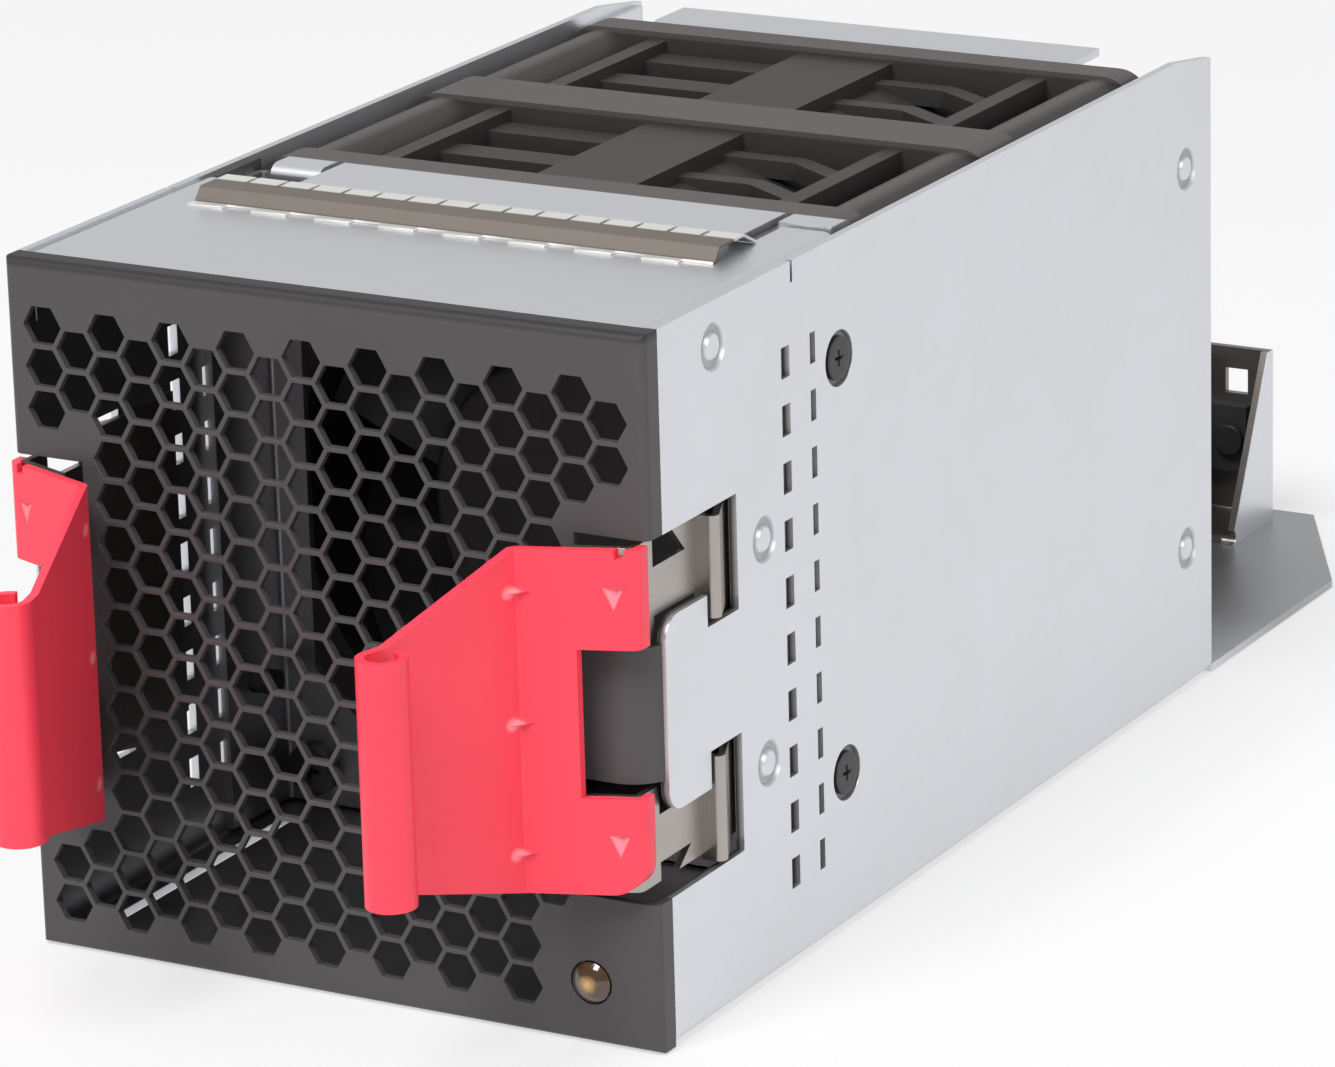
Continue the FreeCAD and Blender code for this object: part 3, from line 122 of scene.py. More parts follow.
# Screws: sizes, then the proportions of a head and its cross recess in shares of the head's radius
SIDE_HEAD = 0.6 * MM
SIDE_SHANK = 1.5 * MM
SIDE_LENGTH = 4.4 * MM
FAN_HEAD_RADIUS = 3.2 * MM
FAN_HEAD_RIM = 1.5 * MM
FAN_HEAD_TALL = 2.0 * MM
FAN_HEAD_DOME = 0.28 * MM
FAN_SHANK = 1.9 * MM
FAN_LENGTH = 9.0 * MM
HEAD_SIDES = 48
HEAD_EDGE = 0.03
DOME_RINGS = 3
DOME_RING = 0.22
DOME_FALL = 0.45
RECESS_LENGTH = 1.15
RECESS_WIDTH = 0.26
RECESS_DEPTH = 1.1
RECESS_RISE = 0.15
RECESS_TAPER = 0.45

# Solder joints of the connector's contacts
CONTACT_COUNT = 8
CONTACT_WIDTH = 1.2 * MM
SOLDER_SIDES = 20
SOLDER_FOOT = 1.0 * MM
SOLDER_TIP = 0.35 * MM
SOLDER_HEIGHT = 0.7 * MM
SOLDER_EDGE = 0.15 * MM

# Places in millimetres for painted shade: plenum, tongue, bare cuts in the right wall, inside the bracket's
# gussets, the panel's top bend
WALL_OUTER = 40.0
WALL_INNER = 39.05
FLOOR_TOP = 0.9
PLENUM_TOP = 79.2
PLENUM_END = -36.0
TONGUE_START = 54.0
TONGUE_FADE = 20.0
CUT_DEPTH = 0.94
CUT_LOW = 3.0
CUT_HIGH = 78.5
GUSSET_OUTER = 22.3
PANEL_BEND = 78.9

# Gasket's tabs and finger ends, fan flanges with painted highlight on their bars and painted shade below
# their ribs, status light's lens with its painted glint, in millimetres
GASKET_TAB = 1.2
GASKET_FINGER = 5.3
BAR_TOP = 79.9
DECK_DROP = 1.0
RIB_SHADE = 10.0
LENS_RADIUS = 2.3

# Stamped marks on the grips, which get a painted highlight, in millimetres: triangular dents by the corner,
# darts across the bend
DENT_X = 37.03
DENT_HEIGHTS = (24.1, 51.6)
DENT_WIDTH = 2.26
DENT_TALL = 2.7
DART_Y = -94.2
DART_HEIGHTS = (23.3, 37.9, 52.5)
DART_RADII = (1000, 1.1, 0.9)

# Colours, linear
WHITE = (1, 1, 1, 1)
ZINC_COOL = (0.73, 0.745, 0.785, 1)
ZINC_WARM = (0.68, 0.69, 0.715, 1)
# painted shade on the right wall's cut edges
ZINC_CUT_SHADE = (0.07, 0.068, 0.068, 1)
# painted shade inside the plenum and on the tongue
ZINC_SHADE = (0.16, 0.158, 0.16, 1)
# painted shade: the bracket's dark brownish tones
BRACKET_SHADE_GREY = (0.26, 0.245, 0.235, 1)
BRACKET_SHADE_BROWN = (0.19, 0.165, 0.148, 1)
PANEL_GREY = (0.068, 0.063, 0.066, 1)
PANEL_DEEP = (0.053, 0.049, 0.052, 1)
# painted shade along the panel's top bend
PANEL_BEND_SHADE = (0.016, 0.014, 0.014, 1)
CORAL = (0.92, 0.054, 0.092, 1)
CORAL_DEEP = (0.85, 0.044, 0.078, 1)
# painted highlight on the grips' stamped marks
CORAL_HIGHLIGHT = (0.98, 0.23, 0.27, 1)
NICKEL = (0.50, 0.47, 0.44, 1)
NICKEL_DULL = (0.36, 0.335, 0.31, 1)
GASKET_TAUPE = (0.120, 0.103, 0.088, 1)
GASKET_RUBBED = (0.155, 0.134, 0.113, 1)
GASKET_BRIGHT = (0.86, 0.85, 0.82, 1)
FAN_BROWN = (0.024, 0.021, 0.020, 1)
FAN_DUST = (0.041, 0.036, 0.035, 1)
# painted highlight on the flange bars, then painted shade below the ribs
FAN_HIGHLIGHT = (0.082, 0.073, 0.070, 1)
FAN_SHADE = (0.012, 0.0105, 0.010, 1)
BLADE_BLACK = (0.028, 0.028, 0.029, 1)
BLADE_DUST = (0.052, 0.051, 0.050, 1)
STEEL_LIGHT = (0.66, 0.66, 0.67, 1)
STEEL_DARK = (0.45, 0.45, 0.46, 1)
BLACK_OXIDE = (0.022, 0.022, 0.024, 1)
BLACK_WORN = (0.07, 0.068, 0.066, 1)
MASK_DARK = (0.010, 0.016, 0.013, 1)
MASK_TRACE = (0.022, 0.036, 0.028, 1)
COPPER = (0.62, 0.24, 0.09, 1)
COPPER_DARK = (0.22, 0.07, 0.025, 1)
FERRITE = (0.035, 0.035, 0.038, 1)
FERRITE_EDGE = (0.07, 0.07, 0.072, 1)
PLUG_BLACK = (0.02, 0.02, 0.021, 1)
PLUG_GREY = (0.034, 0.034, 0.035, 1)
GOLD = (0.80, 0.58, 0.22, 1)
GOLD_DULL = (0.60, 0.41, 0.14, 1)
# painted golden glint of the lens
LENS_GLINT_GOLD = (0.62, 0.36, 0.09, 1)
LENS_BROWN = (0.055, 0.030, 0.012, 1)
FLOOR_WHITE = (0.69, 0.69, 0.695, 1)
FLOOR_PALE = (0.67, 0.67, 0.675, 1)

# Nodes shown by a dressed copy, with the width of its broken edges, and nodes shown by modelled screws
GRIPS = ("right_grip", "left_grip")
DRESSED = {
    "sleeve": SHEET_EDGE, "front_panel": SHEET_EDGE, "top_cover": SHEET_EDGE,
    "fan_bracket": SHEET_EDGE, "rear_frame": SHEET_EDGE, "connector_bracket": SHEET_EDGE,
    "right_grip": SHEET_EDGE, "left_grip": SHEET_EDGE,
    "right_latch_spring": SHEET_EDGE, "left_latch_spring": SHEET_EDGE,
    "connector_housing": SHEET_EDGE, "bracket_rivets": SHEET_EDGE, "connector_screws": SHEET_EDGE,
    "front_fan_frame": MOULDED_EDGE, "rear_fan_frame": MOULDED_EDGE,
    "finger_gasket": FINE_EDGE,
}
SCREWED = ("side_screws", "fan_screws")


class Wire:
    """One output among the nodes of a finish or of the sky. Arithmetic on it adds Math nodes."""

    def __init__(self, nodes, socket):
        self.nodes = nodes
        self.socket = socket

    def math(self, operation, *terms):
        return self.nodes.add("ShaderNodeMath", {"operation": operation}, dict(enumerate(terms)))

    def __add__(self, other):
        return self.math("ADD", self, other)

    def __sub__(self, other):
        return self.math("SUBTRACT", self, other)

    def __rsub__(self, other):
        return self.math("SUBTRACT", other, self)

    def __mul__(self, other):
        return self.math("MULTIPLY", self, other)

    def __truediv__(self, other):
        return self.math("DIVIDE", self, other)

    def above(self, limit):
        """1 where the value is greater than the limit, otherwise 0."""
        return self.math("GREATER_THAN", self, limit)

    def below(self, limit):
        """1 where the value is less than the limit, otherwise 0."""
        return self.math("LESS_THAN", self, limit)

    def size(self):
        """The value without its sign."""
        return self.math("ABSOLUTE", self)

    def most(self, other):
        """The greater of two values."""
        return self.math("MAXIMUM", self, other)

    __radd__ = __add__
    __rmul__ = __mul__


class Nodes:
    """The nodes of a finish or of the sky."""

    def __init__(self, owner):
        owner.use_nodes = True
        self.owner = owner
        self.tree = owner.node_tree

    def add(self, kind, settings, inputs, output=0):
        """New node: its settings first, then the values or links of its sockets, by name or number."""
        node = self.tree.nodes.new(kind)
        for key, value in settings.items():
            if key == "stops":
                self.set_stops(node.color_ramp, value)
            else:
                setattr(node, key, value)
        for key, term in inputs.items():
            self.feed(node.inputs[key], term)
        return Wire(self, node.outputs[output])

    def set_stops(self, ramp, stops):
        """Sets a ramp's two stops, each a position and a level."""
        for element, (position, level) in zip(ramp.elements, stops):
            element.position = position
            element.color = (level, level, level, 1)

    def feed(self, socket, term):
        """Links a wire to a socket, or sets the socket to a constant."""
        if isinstance(term, Wire):
            self.tree.links.new(term.socket, socket)
        else:
            socket.default_value = term

    def part(self, vector, axis):
        """One coordinate of a vector."""
        return self.add("ShaderNodeSeparateXYZ", {}, {0: vector}, axis)

    def rise(self, value, start, end):
        """Share that rises from 0 to 1 while the value goes from start to end."""
        return self.add("ShaderNodeValToRGB", {"stops": ((start, 0.0), (end, 1.0))}, {0: value})

    def fall(self, value, start, end):
        """Share that falls from 1 to 0 while the value goes from start to end."""
        return self.add("ShaderNodeValToRGB", {"stops": ((start, 1.0), (end, 0.0))}, {0: value})


class Finish(Nodes):
    """A material made of nodes that read the piece's own coordinates, in millimetres."""

    def __init__(self, name, **constants):
        super().__init__(bpy.data.materials.new(name))
        self.shader = self.tree.nodes["Principled BSDF"]
        self.paint(**constants)

    def place(self, stretch=(1, 1, 1)):
        """The piece's coordinates in millimetres, stretched along the axes."""
        point = self.add("ShaderNodeTexCoord", {}, {}, "Object")
        return self.add("ShaderNodeMapping", {}, {"Vector": point, "Scale": Vector(stretch) / MM})

    def noise(self, scale=1.0, detail=2.0, stretch=(1, 1, 1)):
        """Cloudy noise with so many waves to the millimetre."""
        inputs = {"Vector": self.place(stretch), "Scale": scale, "Detail": detail}
        return self.add("ShaderNodeTexNoise", {}, inputs)

    def cells(self, feature, scale, output):
        """Cells with so many to the millimetre."""
        inputs = {"Vector": self.place(), "Scale": scale}
        return self.add("ShaderNodeTexVoronoi", {"feature": feature}, inputs, output)

    def grey(self, colour):
        """Brightness of a colour."""
        return self.add("ShaderNodeRGBToBW", {}, {0: colour})

    def blend(self, share, first, second):
        """Colour between two, by a share."""
        return self.add("ShaderNodeMix", {"data_type": "RGBA"}, {0: share, 6: first, 7: second}, 2)

    def vector(self, operation, first, second, output=0):
        """Arithmetic on two vectors."""
        return self.add("ShaderNodeVectorMath", {"operation": operation}, {0: first, 1: second}, output)

    def bump(self, height, depth, strength):
        """Relief with a depth in metres."""
        return self.add("ShaderNodeBump", {}, {"Height": height, "Distance": depth, "Strength": strength})

    def paint(self, **sockets):
        """Sets or links the shader's sockets, with _ for a space in their names. Gives the material."""
        for socket, term in sockets.items():
            self.feed(self.shader.inputs[socket.replace("_", " ")], term)
        return self.owner


def zinc_sheet():
    """Galvanised sheet: faint spangle, rolling lines along the tray, satin gloss. Painted shade makes it
    darker inside the plenum and on the tongue, and nearly black on the bare cut edges of the right wall."""
    f = Finish("zinc_sheet")
    spangle = f.grey(f.cells("F1", scale=0.35, output="Color"))
    lines = f.noise(detail=3.0, stretch=(7.0, 0.12, 7.0))
    cloud = f.noise(scale=0.045, detail=3.0)
    tone = f.blend(0.25 * spangle + 0.5 * cloud + 0.25 * lines, ZINC_COOL, ZINC_WARM)
    place = f.place()
    across, along, height = [f.part(place, axis) for axis in "XYZ"]
    # painted shade: darker on the inner faces of the sleeve and of the partition inside the plenum
    plenum = across.size().below(WALL_INNER) * along.below(PLENUM_END)
    plenum = plenum * height.above(FLOOR_TOP) * height.below(PLENUM_TOP)
    # painted shade: the tongue grows darker towards the back
    tongue = f.rise((along - TONGUE_START) / TONGUE_FADE, 0.0, 1.0)
    painted_shade = (0.68 * plenum).most(0.52 * tongue)
    depth = WALL_OUTER - across
    # painted shade: the bare cut edges of the right wall's slots and windows, nearly black and less metallic
    cut = depth.below(CUT_DEPTH) * height.above(CUT_LOW) * height.below(CUT_HIGH)
    cut = cut * f.rise(depth, 0.12, 0.75)
    return f.paint(Base_Color=f.blend(cut, f.blend(painted_shade, tone, ZINC_SHADE), ZINC_CUT_SHADE),
                   Metallic=0.92 - 0.5 * cut,
                   Roughness=0.34 + 0.1 * cloud - 0.06 * lines + 0.2 * cut,
                   Normal=f.bump(lines, depth=0.005 * MM, strength=0.3))


def bracket_sheet():
    """Steel of the connector bracket: painted shade makes it dark and brownish inside; the outer faces of
    its gussets are bright zinc.
    """
    f = Finish("bracket_sheet", Metallic=0.9)
    lines = f.noise(detail=3.0, stretch=(6.0, 6.0, 0.3))
    cloud = f.noise(scale=0.2)
    outer = f.part(f.place(), "X").size().above(GUSSET_OUTER)
    # painted shade: dark brownish inside the gussets, bright zinc on their outer faces
    tone = f.blend(cloud, BRACKET_SHADE_GREY, BRACKET_SHADE_BROWN)
    return f.paint(Base_Color=f.blend(outer, tone, f.blend(lines, ZINC_COOL, ZINC_WARM)),
                   Roughness=0.3 + 0.12 * lines,
                   Normal=f.bump(lines, depth=0.005 * MM, strength=0.3))


def stamped_marks(f):
    """Share of painted highlight on the grips' stamped dents and darts."""
    place = f.place()
    across = (f.part(place, "X").size() - DENT_X).size()
    height = f.part(place, "Z")
    share = 0
    for middle in DENT_HEIGHTS:
        up = (height - (middle - DENT_TALL / 2)) / DENT_TALL
        dent = f.rise(up * DENT_WIDTH / 2 - across, 0.0, 0.3) * up.below(1)
        share = dent.most(share)
    for middle in DART_HEIGHTS:
        away = f.vector("DIVIDE", f.vector("SUBTRACT", place, (0, DART_Y, middle)), DART_RADII)
        dart = f.rise(1 - f.vector("LENGTH", away, away, "Value"), 0.0, 0.5)
        share = dart.most(share)
    return share


def powder_coat(name, light, deep, roughness):
    """Powder coat: fine orange peel, slightly uneven tone. Gives the finish and its tone."""
    f = Finish(name, Specular_IOR_Level=0.45)
    peel = f.noise(scale=2.6)
    cloud = f.noise(scale=0.06)
    speck = f.noise(scale=9.0, detail=1.0)
    f.paint(Roughness=roughness + 0.12 * speck, Normal=f.bump(peel, depth=0.02 * MM, strength=0.6))
    return f, f.blend(0.6 * cloud + 0.4 * speck, light, deep)


def panel_coat():
    """Dark grey coat of the panel, with painted shade along the bend of its top edge."""
    f, tone = powder_coat("panel_coat", PANEL_GREY, PANEL_DEEP, roughness=0.42)
    # painted shade: darker along the bend of the top edge
    edge = f.rise(f.part(f.place(), "Z") - PANEL_BEND, 0.0, 0.7)
    return f.paint(Base_Color=f.blend(edge, tone, PANEL_BEND_SHADE))


def grip_coat():
    """Coral coat of the grips, with a paler painted highlight on the stamped marks."""
    f, tone = powder_coat("grip_coat", CORAL, CORAL_DEEP, roughness=0.34)
    # painted highlight: paler coral on the stamped marks
    return f.paint(Base_Color=f.blend(stamped_marks(f), tone, CORAL_HIGHLIGHT))


def spring_leaf():
    """Nickel-tinted spring steel, brushed along the leaf."""
    f = Finish("spring_leaf", Metallic=1.0)
    lines = f.noise(detail=3.0, stretch=(9.0, 0.25, 9.0))
    cloud = f.noise(scale=0.25)
    return f.paint(Base_Color=f.blend(0.6 * lines + 0.4 * cloud, NICKEL, NICKEL_DULL),
                   Roughness=0.24 + 0.18 * lines,
                   Normal=f.bump(lines, depth=0.008 * MM, strength=0.5))


def gasket_strip(low, high):
    """Tinned copper alloy: matt taupe crown, bright tabs in front and bright finger ends behind."""
    f = Finish("gasket_strip")
    along = f.part(f.place(), "Y")
    tabs = f.fall((along - low.y / MM) / GASKET_TAB, 0.9, 1.0)
    ends = f.fall((high.y / MM - along) / GASKET_FINGER, 0.92, 1.0)
    bright = tabs.most(ends)
    lines = f.noise(stretch=(0.3, 6.0, 6.0))
    tint = f.blend(lines, GASKET_TAUPE, GASKET_RUBBED)
    return f.paint(Base_Color=f.blend(bright, tint, GASKET_BRIGHT),
                   Metallic=0.35 + 0.5 * bright,
                   Roughness=0.5 + 0.15 * lines - 0.15 * bright,
                   Normal=f.bump(lines, depth=0.006 * MM, strength=0.5))


def plastic_grain(name, body, dust, roughness):
    """Moulded plastic: fine grain, a breath of dust in cloudy patches. Gives the finish and its tone."""
    f = Finish(name, Specular_IOR_Level=0.4)
    grain = f.noise(scale=5.0)
    cloud = f.noise(scale=0.08, detail=4.0)
    f.paint(Roughness=roughness + 0.16 * grain, Normal=f.bump(grain, depth=0.02 * MM, strength=0.5))
    return f, f.blend(0.75 * cloud + 0.25 * grain, body, dust)


def moulded(name, body, dust, roughness):
    """Moulded plastic or pressed ferrite, in one tone."""
    f, tone = plastic_grain(name, body, dust, roughness)
    return f.paint(Base_Color=tone)


def fan_plastic():
    """Moulded fan frame: brown plastic, with a painted highlight on the flange bars and painted shade below
    the ribs.
    """
    f, tone = plastic_grain("fan_plastic", FAN_BROWN, FAN_DUST, roughness=0.46)
    below = BAR_TOP - f.part(f.place(), "Z")
    # painted highlight on the flange bars
    bar_highlight = f.fall(below / DECK_DROP, 0.5, 0.8)
    # painted shade below the ribs
    shade = f.rise(below / RIB_SHADE, 0.15, 0.6)
    return f.paint(Base_Color=f.blend(0.8 * shade, f.blend(0.75 * bar_highlight, tone, FAN_HIGHLIGHT), FAN_SHADE))


def turned_steel(name, light, dark, metallic, roughness):
    """Turned, plated or oxidised metal with fine tool marks."""
    f = Finish(name, Metallic=metallic)
    marks = f.noise(scale=4.0)
    cloud = f.noise(scale=0.5)
    return f.paint(Base_Color=f.blend(0.5 * marks + 0.5 * cloud, light, dark),
                   Roughness=roughness + 0.2 * marks,
                   Normal=f.bump(marks, depth=0.01 * MM, strength=0.4))


def solder_mask():
    """Dark board with faint traces under the mask."""
    f = Finish("solder_mask", Coat_Weight=0.3)
    trace = f.fall(f.cells("DISTANCE_TO_EDGE", scale=0.55, output="Distance"), 0.05, 0.09)
    weave = f.noise(scale=3.0, detail=1.0)
    return f.paint(Base_Color=f.blend(trace, MASK_DARK, MASK_TRACE),
                   Roughness=0.28 + 0.2 * weave,
                   Normal=f.bump(trace, depth=0.03 * MM, strength=0.5))


def windings():
    """Enamelled copper: turns of wire round the poles."""
    f = Finish("windings", Metallic=0.9)
    inputs = {"Vector": f.place(), "Distortion": 0.6}
    turns = f.grey(f.add("ShaderNodeTexWave", {"bands_direction": "Y"}, inputs))
    return f.paint(Base_Color=f.blend(turns, COPPER_DARK, COPPER),
                   Roughness=0.5 - 0.2 * turns,
                   Normal=f.bump(turns, depth=0.12 * MM, strength=0.8))


def light_lens(low, high):
    """Clear amber dome: a painted golden glint in the middle, brown towards its rim."""
    f = Finish("light_lens", Coat_Weight=1.0, Coat_Roughness=0.03, IOR=1.5)
    across = f.vector("SUBTRACT", f.place(), (low + high) / 2 / MM)
    radius = f.vector("LENGTH", f.vector("MULTIPLY", across, (1, 0, 1)), (0, 0, 0), "Value")
    speck = f.noise(scale=3.0, detail=1.0)
    # painted glint: golden in the middle of the dome, fading to brown at the rim
    painted_glint = f.fall(radius / LENS_RADIUS + 0.2 * speck, 0.15, 0.62)
    return f.paint(Base_Color=f.blend(painted_glint, LENS_BROWN, LENS_GLINT_GOLD), Roughness=0.12 + 0.1 * speck)


def pale_floor():
    """Plain pale floor. A share of what the camera and reflections see of it is white, and the rest keeps
    the shadow."""
    f = Finish("pale_floor", Roughness=0.75, Specular_IOR_Level=0.2)
    f.paint(Base_Color=f.blend(f.noise(scale=0.01), FLOOR_WHITE, FLOOR_PALE))
    direct, mirrored, through = [f.add("ShaderNodeLightPath", {}, {}, ray) for ray in SEEN_RAYS]
    share = FLOOR_WHITE_SHARE * direct.most(mirrored).most(through)
    matt = Wire(f, f.shader.outputs[0])
    white = f.add("ShaderNodeEmission", {}, {"Color": WHITE, "Strength": 1.0})
    mixed = f.add("ShaderNodeMixShader", {}, {0: share, 1: matt, 2: white})
    f.feed(f.tree.nodes["Material Output"].inputs["Surface"], mixed)
    return f.owner


def pick(piece):
    """Makes one piece the only selected and active object."""
    bpy.ops.object.select_all(action="DESELECT")
    piece.select_set(True)
    bpy.context.view_layer.objects.active = piece


def choose(piece, kind, test):
    """Selects the corners (VERT) or faces (FACE) of the picked piece that pass a test, in edit mode."""
    bpy.ops.object.mode_set(mode="EDIT")
    bpy.ops.mesh.select_mode(type=kind)
    bpy.ops.mesh.select_all(action="DESELECT")
    bpy.ops.object.mode_set(mode="OBJECT")
    for item in piece.data.vertices if kind == "VERT" else piece.data.polygons:
        item.select = test(item)
    bpy.ops.object.mode_set(mode="EDIT")


def choose_end(piece, way):
    """Selects the faces that look up (1) or down (-1), in edit mode."""
    pick(piece)
    choose(piece, "FACE", lambda face: face.normal.z * way > LEVEL_ABOVE)


def carry(piece, body, slot, material, *nodes):
    """Gives a piece its finish, and says what it rides on and which nodes it stands for; the slot is not
    used.
    """
    piece.data.materials.clear()
    piece.data.materials.append(material)
    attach(piece, body)
    if nodes:
        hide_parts(*nodes)
    return piece


def body_of(node):
    """Body that a node belongs to, from the record."""
    bodies = frame["record"]["behaviour"]["bodies"]
    return next(body for body, nodes in bodies.items() if node in nodes)


def slot_of(node):
    """Material slot of a node, from the record."""
    return next(row["material_slot"] for row in frame["record"]["subparts"] if row["node"] == node)


def broken_edges(piece, edge):
    """Rounds off the sharp edges of a piece and shades its flat faces flat."""
    pick(piece)
    rounding = piece.modifiers.new("broken_edges", "BEVEL")
    rounding.width = edge
    rounding.segments = EDGE_STEPS
    rounding.limit_method = "ANGLE"
    rounding.angle_limit = EDGE_ANGLE
    bpy.ops.object.modifier_apply(modifier=rounding.name)
    bpy.ops.object.shade_smooth_by_angle(angle=SMOOTH_ANGLE)
    shading = piece.modifiers.new("flat_faces", "WEIGHTED_NORMAL")
    shading.keep_sharp = True
    bpy.ops.object.modifier_apply(modifier=shading.name)


def close_roll_seam(piece):
    """Draws together the fine groove where a grip's flat sheet meets its rolled edge."""
    def at_seam(corner):
        return abs(corner.co.y - ROLL_SEAM_Y) < ROLL_SEAM

    def in_seam(face):
        near = all(at_seam(piece.data.vertices[i]) for i in face.vertices)
        return near and abs(face.normal.z) < UPRIGHT_BELOW

    choose(piece, "VERT", at_seam)
    bpy.ops.mesh.remove_doubles(threshold=ROLL_SEAM)
    choose(piece, "FACE", in_seam)
    bpy.ops.mesh.delete(type="ONLY_FACE")
    bpy.ops.mesh.select_all(action="SELECT")
    bpy.ops.mesh.delete_loose()


def dressed(node, material, edge):
    """Copy of a node's solid with its triangles joined to faces and its sharp edges broken."""
    source = frame["nodes"][node]
    piece = source.copy()
    piece.data = source.data.copy()
    piece.parent = None
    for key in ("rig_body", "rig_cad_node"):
        del piece[key]
    piece.name = node + "_finished"
    bpy.context.scene.collection.objects.link(piece)
    pick(piece)
    bpy.ops.object.mode_set(mode="EDIT")
    bpy.ops.mesh.select_all(action="SELECT")
    bpy.ops.mesh.remove_doubles(threshold=WELD)
    if node in GRIPS:
        close_roll_seam(piece)
    bpy.ops.mesh.select_all(action="SELECT")
    bpy.ops.mesh.dissolve_limited(angle_limit=FLAT_ANGLE)
    bpy.ops.object.mode_set(mode="OBJECT")
    broken_edges(piece, edge)
    return carry(piece, body_of(node), slot_of(node), material, node)


def cross_blade(length, width, depth, turn):
    """Tapered blade of a cross recess, which the head is cut with."""
    bpy.ops.object.select_all(action="DESELECT")
    bpy.ops.mesh.primitive_cube_add(size=1, rotation=(0, 0, turn))
    blade = bpy.context.object
    blade.scale = (length, width, depth)
    bpy.ops.object.transform_apply(location=False, rotation=True, scale=True)
    choose_end(blade, -1)
    bpy.ops.transform.resize(value=(RECESS_TAPER, RECESS_TAPER, 1), center_override=(0, 0, -depth / 2))
    bpy.ops.object.mode_set(mode="OBJECT")
    return blade


def screw(name, head_radius, head_height, dome, shank_radius, length):
    """Screw with a domed head and a cross recess: axis along Z, the seat of its head at 0, shank below."""
    bpy.ops.object.select_all(action="DESELECT")
    bpy.ops.mesh.primitive_cylinder_add(vertices=HEAD_SIDES, radius=head_radius, depth=head_height)
    piece = bpy.context.object
    piece.name = name
    choose_end(piece, 1)
    for _ in range(DOME_RINGS):
        bpy.ops.mesh.inset(thickness=head_radius * DOME_RING, depth=dome)
        dome *= DOME_FALL
    bpy.ops.object.mode_set(mode="OBJECT")
    choose_end(piece, -1)
    bpy.ops.mesh.inset(thickness=head_radius - shank_radius)
    bpy.ops.mesh.extrude_region_move(TRANSFORM_OT_translate={"value": (0, 0, -length)})
    bpy.ops.mesh.select_all(action="SELECT")
    bpy.ops.transform.translate(value=(0, 0, head_height / 2))
    bpy.ops.object.mode_set(mode="OBJECT")
    recess = [share * head_radius for share in (RECESS_LENGTH, RECESS_WIDTH, RECESS_DEPTH)]
    for turn in (0, radians(90)):
        blade = cross_blade(*recess, turn)
        blade.location.z = head_height + RECESS_RISE * head_radius
        pick(piece)
        cut = piece.modifiers.new("recess", "BOOLEAN")
        cut.object = blade
        bpy.ops.object.modifier_apply(modifier=cut.name)
        bpy.data.objects.remove(blade)
    broken_edges(piece, HEAD_EDGE * head_radius)
    return piece


def set_out(piece, name, places):
    """Copies of a piece at several places, joined to one; the first piece goes."""
    copies = []
    for place in places:
        copy = piece.copy()
        copy.data = piece.data.copy()
        copy.data.transform(place)
        bpy.context.scene.collection.objects.link(copy)
        copies.append(copy)
    bpy.data.objects.remove(piece)
    pick(copies[0])
    for copy in copies:
        copy.select_set(True)
    bpy.ops.object.join()
    copies[0].name = name
    return copies[0]


def place_at(point, turn, axis):
    """Place of a copy: turned by quarter turns about an axis, then moved to a point."""
    return Matrix.Translation(point) @ Matrix.Rotation(turn * radians(90), 4, axis)


def side_screws(material):
    """Black cross-recess screws in the wall's dimples."""
    low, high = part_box("side_screws")
    y = (low.y + high.y) / 2
    radius = (high.y - low.y) / 2
    piece = screw("side_screw", radius, SIDE_HEAD, dome=0.0, shank_radius=SIDE_SHANK, length=SIDE_LENGTH)
    places = []
    for side in (-1, 1):
        for z in (low.z + radius, high.z - radius):
            places.append(place_at((side * (high.x - SIDE_HEAD), y, z), side, "Y"))
    piece = set_out(piece, "side_screws_finished", places)
    return carry(piece, "tray", "black_screw", material, "side_screws")


def fan_screws(material):
    """Pan-head screws that hold the fans, from the front and from the back."""
    low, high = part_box("fan_screws")
    radius = FAN_HEAD_RADIUS
    piece = screw("fan_screw", radius, FAN_HEAD_RIM, FAN_HEAD_DOME, FAN_SHANK, FAN_LENGTH)
    places = []
    for y, turn in ((low.y + FAN_HEAD_TALL, 1), (high.y - FAN_HEAD_TALL, -1)):
        for x in (low.x + radius, high.x - radius):
            for z in (low.z + radius, high.z - radius):
                places.append(place_at((x, y, z), turn, "X"))
    piece = set_out(piece, "fan_screws_finished", places)
    return carry(piece, "tray", "black_screw", material, "fan_screws")


def solder_joints(material):
    """Solder cones where the contacts come through the connector's board."""
    low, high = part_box("connector_contacts")
    pitch = (high.x - low.x - CONTACT_WIDTH) / (CONTACT_COUNT - 1)
    bpy.ops.object.select_all(action="DESELECT")
    bpy.ops.mesh.primitive_cone_add(vertices=SOLDER_SIDES, radius1=SOLDER_FOOT, radius2=SOLDER_TIP,
                                    depth=SOLDER_HEIGHT, location=(0, 0, SOLDER_HEIGHT / 2))
    cone = bpy.context.object
    bpy.ops.object.transform_apply(location=True)
    broken_edges(cone, SOLDER_EDGE)
    start = low.x + CONTACT_WIDTH / 2
    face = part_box("connector_board")[0].y
    middle = (low.z + high.z) / 2
    places = [place_at((start + i * pitch, face, middle), 1, "X") for i in range(CONTACT_COUNT)]
    return carry(set_out(cone, "solder_joints", places), "tray", "bright_steel", material)


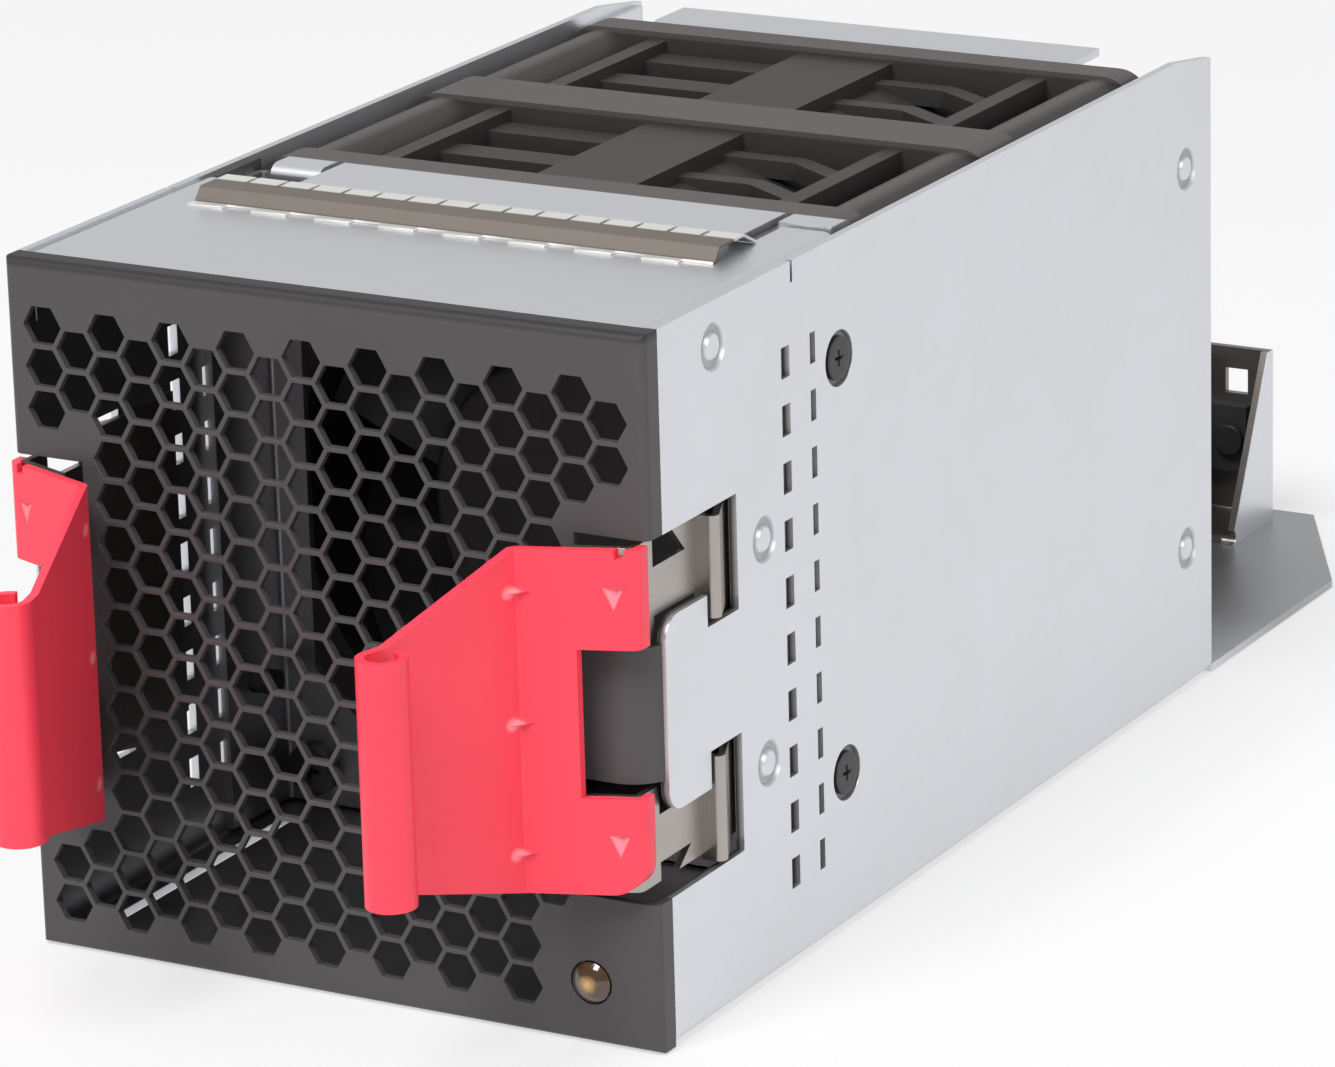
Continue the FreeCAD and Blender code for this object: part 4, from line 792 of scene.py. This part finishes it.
def camera():
    """Camera at the photograph's place, aimed and rolled as fitted to the tray's corners."""
    a, e, r = radians(VIEW_AZIMUTH), radians(VIEW_ELEVATION), radians(VIEW_ROLL)
    back = Vector((sin(a) * cos(e), -cos(a) * cos(e), sin(e)))
    level = Vector((0, 0, 1)).cross(back).normalized()
    upright = back.cross(level)
    right = level * cos(r) + upright * sin(r)
    up = upright * cos(r) - level * sin(r)
    lens = bpy.data.cameras.new("photo_view")
    lens.sensor_width = SENSOR
    lens.lens = FOCAL_PIXELS * SENSOR / PHOTO_WIDTH
    lens.clip_start = CLIP_NEAR
    lens.clip_end = CLIP_FAR
    viewer = bpy.data.objects.new("photo_view", lens)
    target = Vector((TARGET_X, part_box("front_panel")[0].y, TARGET_Z))
    turn = Matrix((right, up, back)).transposed().to_4x4()
    viewer.matrix_world = Matrix.Translation(target + back * VIEW_DISTANCE) @ turn
    bpy.context.scene.collection.objects.link(viewer)
    bpy.context.scene.camera = viewer


def softbox(name, place, size, power):
    """Square soft lamp aimed at the middle of the tray."""
    lamp = bpy.data.lights.new(name, "AREA")
    lamp.size = size
    lamp.energy = power
    holder = bpy.data.objects.new(name, lamp)
    holder.location = place
    holder.rotation_euler = (Vector(LAMP_AIM) - Vector(place)).to_track_quat("-Z", "Y").to_euler()
    bpy.context.scene.collection.objects.link(holder)


def studio_sky():
    """Sky of a studio: bright behind the tray and dim in front of it, so that the inside stays dark."""
    sky = Nodes(bpy.data.worlds.new("studio_sky"))
    way = sky.add("ShaderNodeTexCoord", {}, {}, "Generated")
    behind = sky.rise(0.5 + 0.5 * sky.part(way, "Y"), SKY_DIM, SKY_BRIGHT)
    background = sky.tree.nodes["Background"]
    sky.feed(background.inputs["Color"], WHITE)
    sky.feed(background.inputs["Strength"], SKY_FRONT + (SKY_BACK - SKY_FRONT) * behind)
    bpy.context.scene.world = sky.owner


def stage():
    """Pale floor, studio sky, a soft lamp high in front and a weaker one at the right."""
    bpy.ops.object.select_all(action="DESELECT")
    bpy.ops.mesh.primitive_plane_add(size=FLOOR_SIZE, location=(0, 0, CAD_BOX[0].z - FLOOR_DROP))
    floor = bpy.context.object
    floor.name = "floor"
    floor.data.materials.append(pale_floor())
    studio_sky()
    softbox("key", KEY_PLACE, KEY_SIZE, KEY_POWER)
    softbox("fill", FILL_PLACE, FILL_SIZE, FILL_POWER)
    bpy.context.scene.view_settings.view_transform = "Standard"


def finishes():
    """Material of each slot in the record."""
    return {
        "galvanised": zinc_sheet(),
        "panel_paint": panel_coat(),
        "grip_paint": grip_coat(),
        "spring_steel": spring_leaf(),
        "gasket_metal": gasket_strip(*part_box("finger_gasket")),
        "fan_plastic": fan_plastic(),
        "bright_steel": turned_steel("turned_steel", STEEL_LIGHT, STEEL_DARK, metallic=1.0, roughness=0.22),
        "black_screw": turned_steel("black_oxide", BLACK_OXIDE, BLACK_WORN, metallic=0.6, roughness=0.3),
        "board": solder_mask(),
        "winding": windings(),
        "magnet": moulded("ferrite", FERRITE, FERRITE_EDGE, roughness=0.5),
        "connector_plastic": moulded("plug_plastic", PLUG_BLACK, PLUG_GREY, roughness=0.4),
        "contact_gold": turned_steel("contact_gold", GOLD, GOLD_DULL, metallic=1.0, roughness=0.18),
        "light_lens": light_lens(*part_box("status_light")),
    }


slot_finish = finishes()
blade_plastic = moulded("blade_plastic", BLADE_BLACK, BLADE_DUST, roughness=0.38)
own_finish = {
    "connector_bracket": bracket_sheet(),
    "connector_screws": slot_finish["black_screw"],
    "front_impeller": blade_plastic,
    "rear_impeller": blade_plastic,
}
for name, node in frame["nodes"].items():
    material = own_finish.get(name) or slot_finish[slot_of(name)]
    if name in DRESSED:
        dressed(name, material, DRESSED[name])
    elif name not in SCREWED:
        node.data.materials.clear()
        node.data.materials.append(material)
side_screws(slot_finish["black_screw"])
fan_screws(slot_finish["black_screw"])
solder_joints(slot_finish["bright_steel"])
stage()
camera()
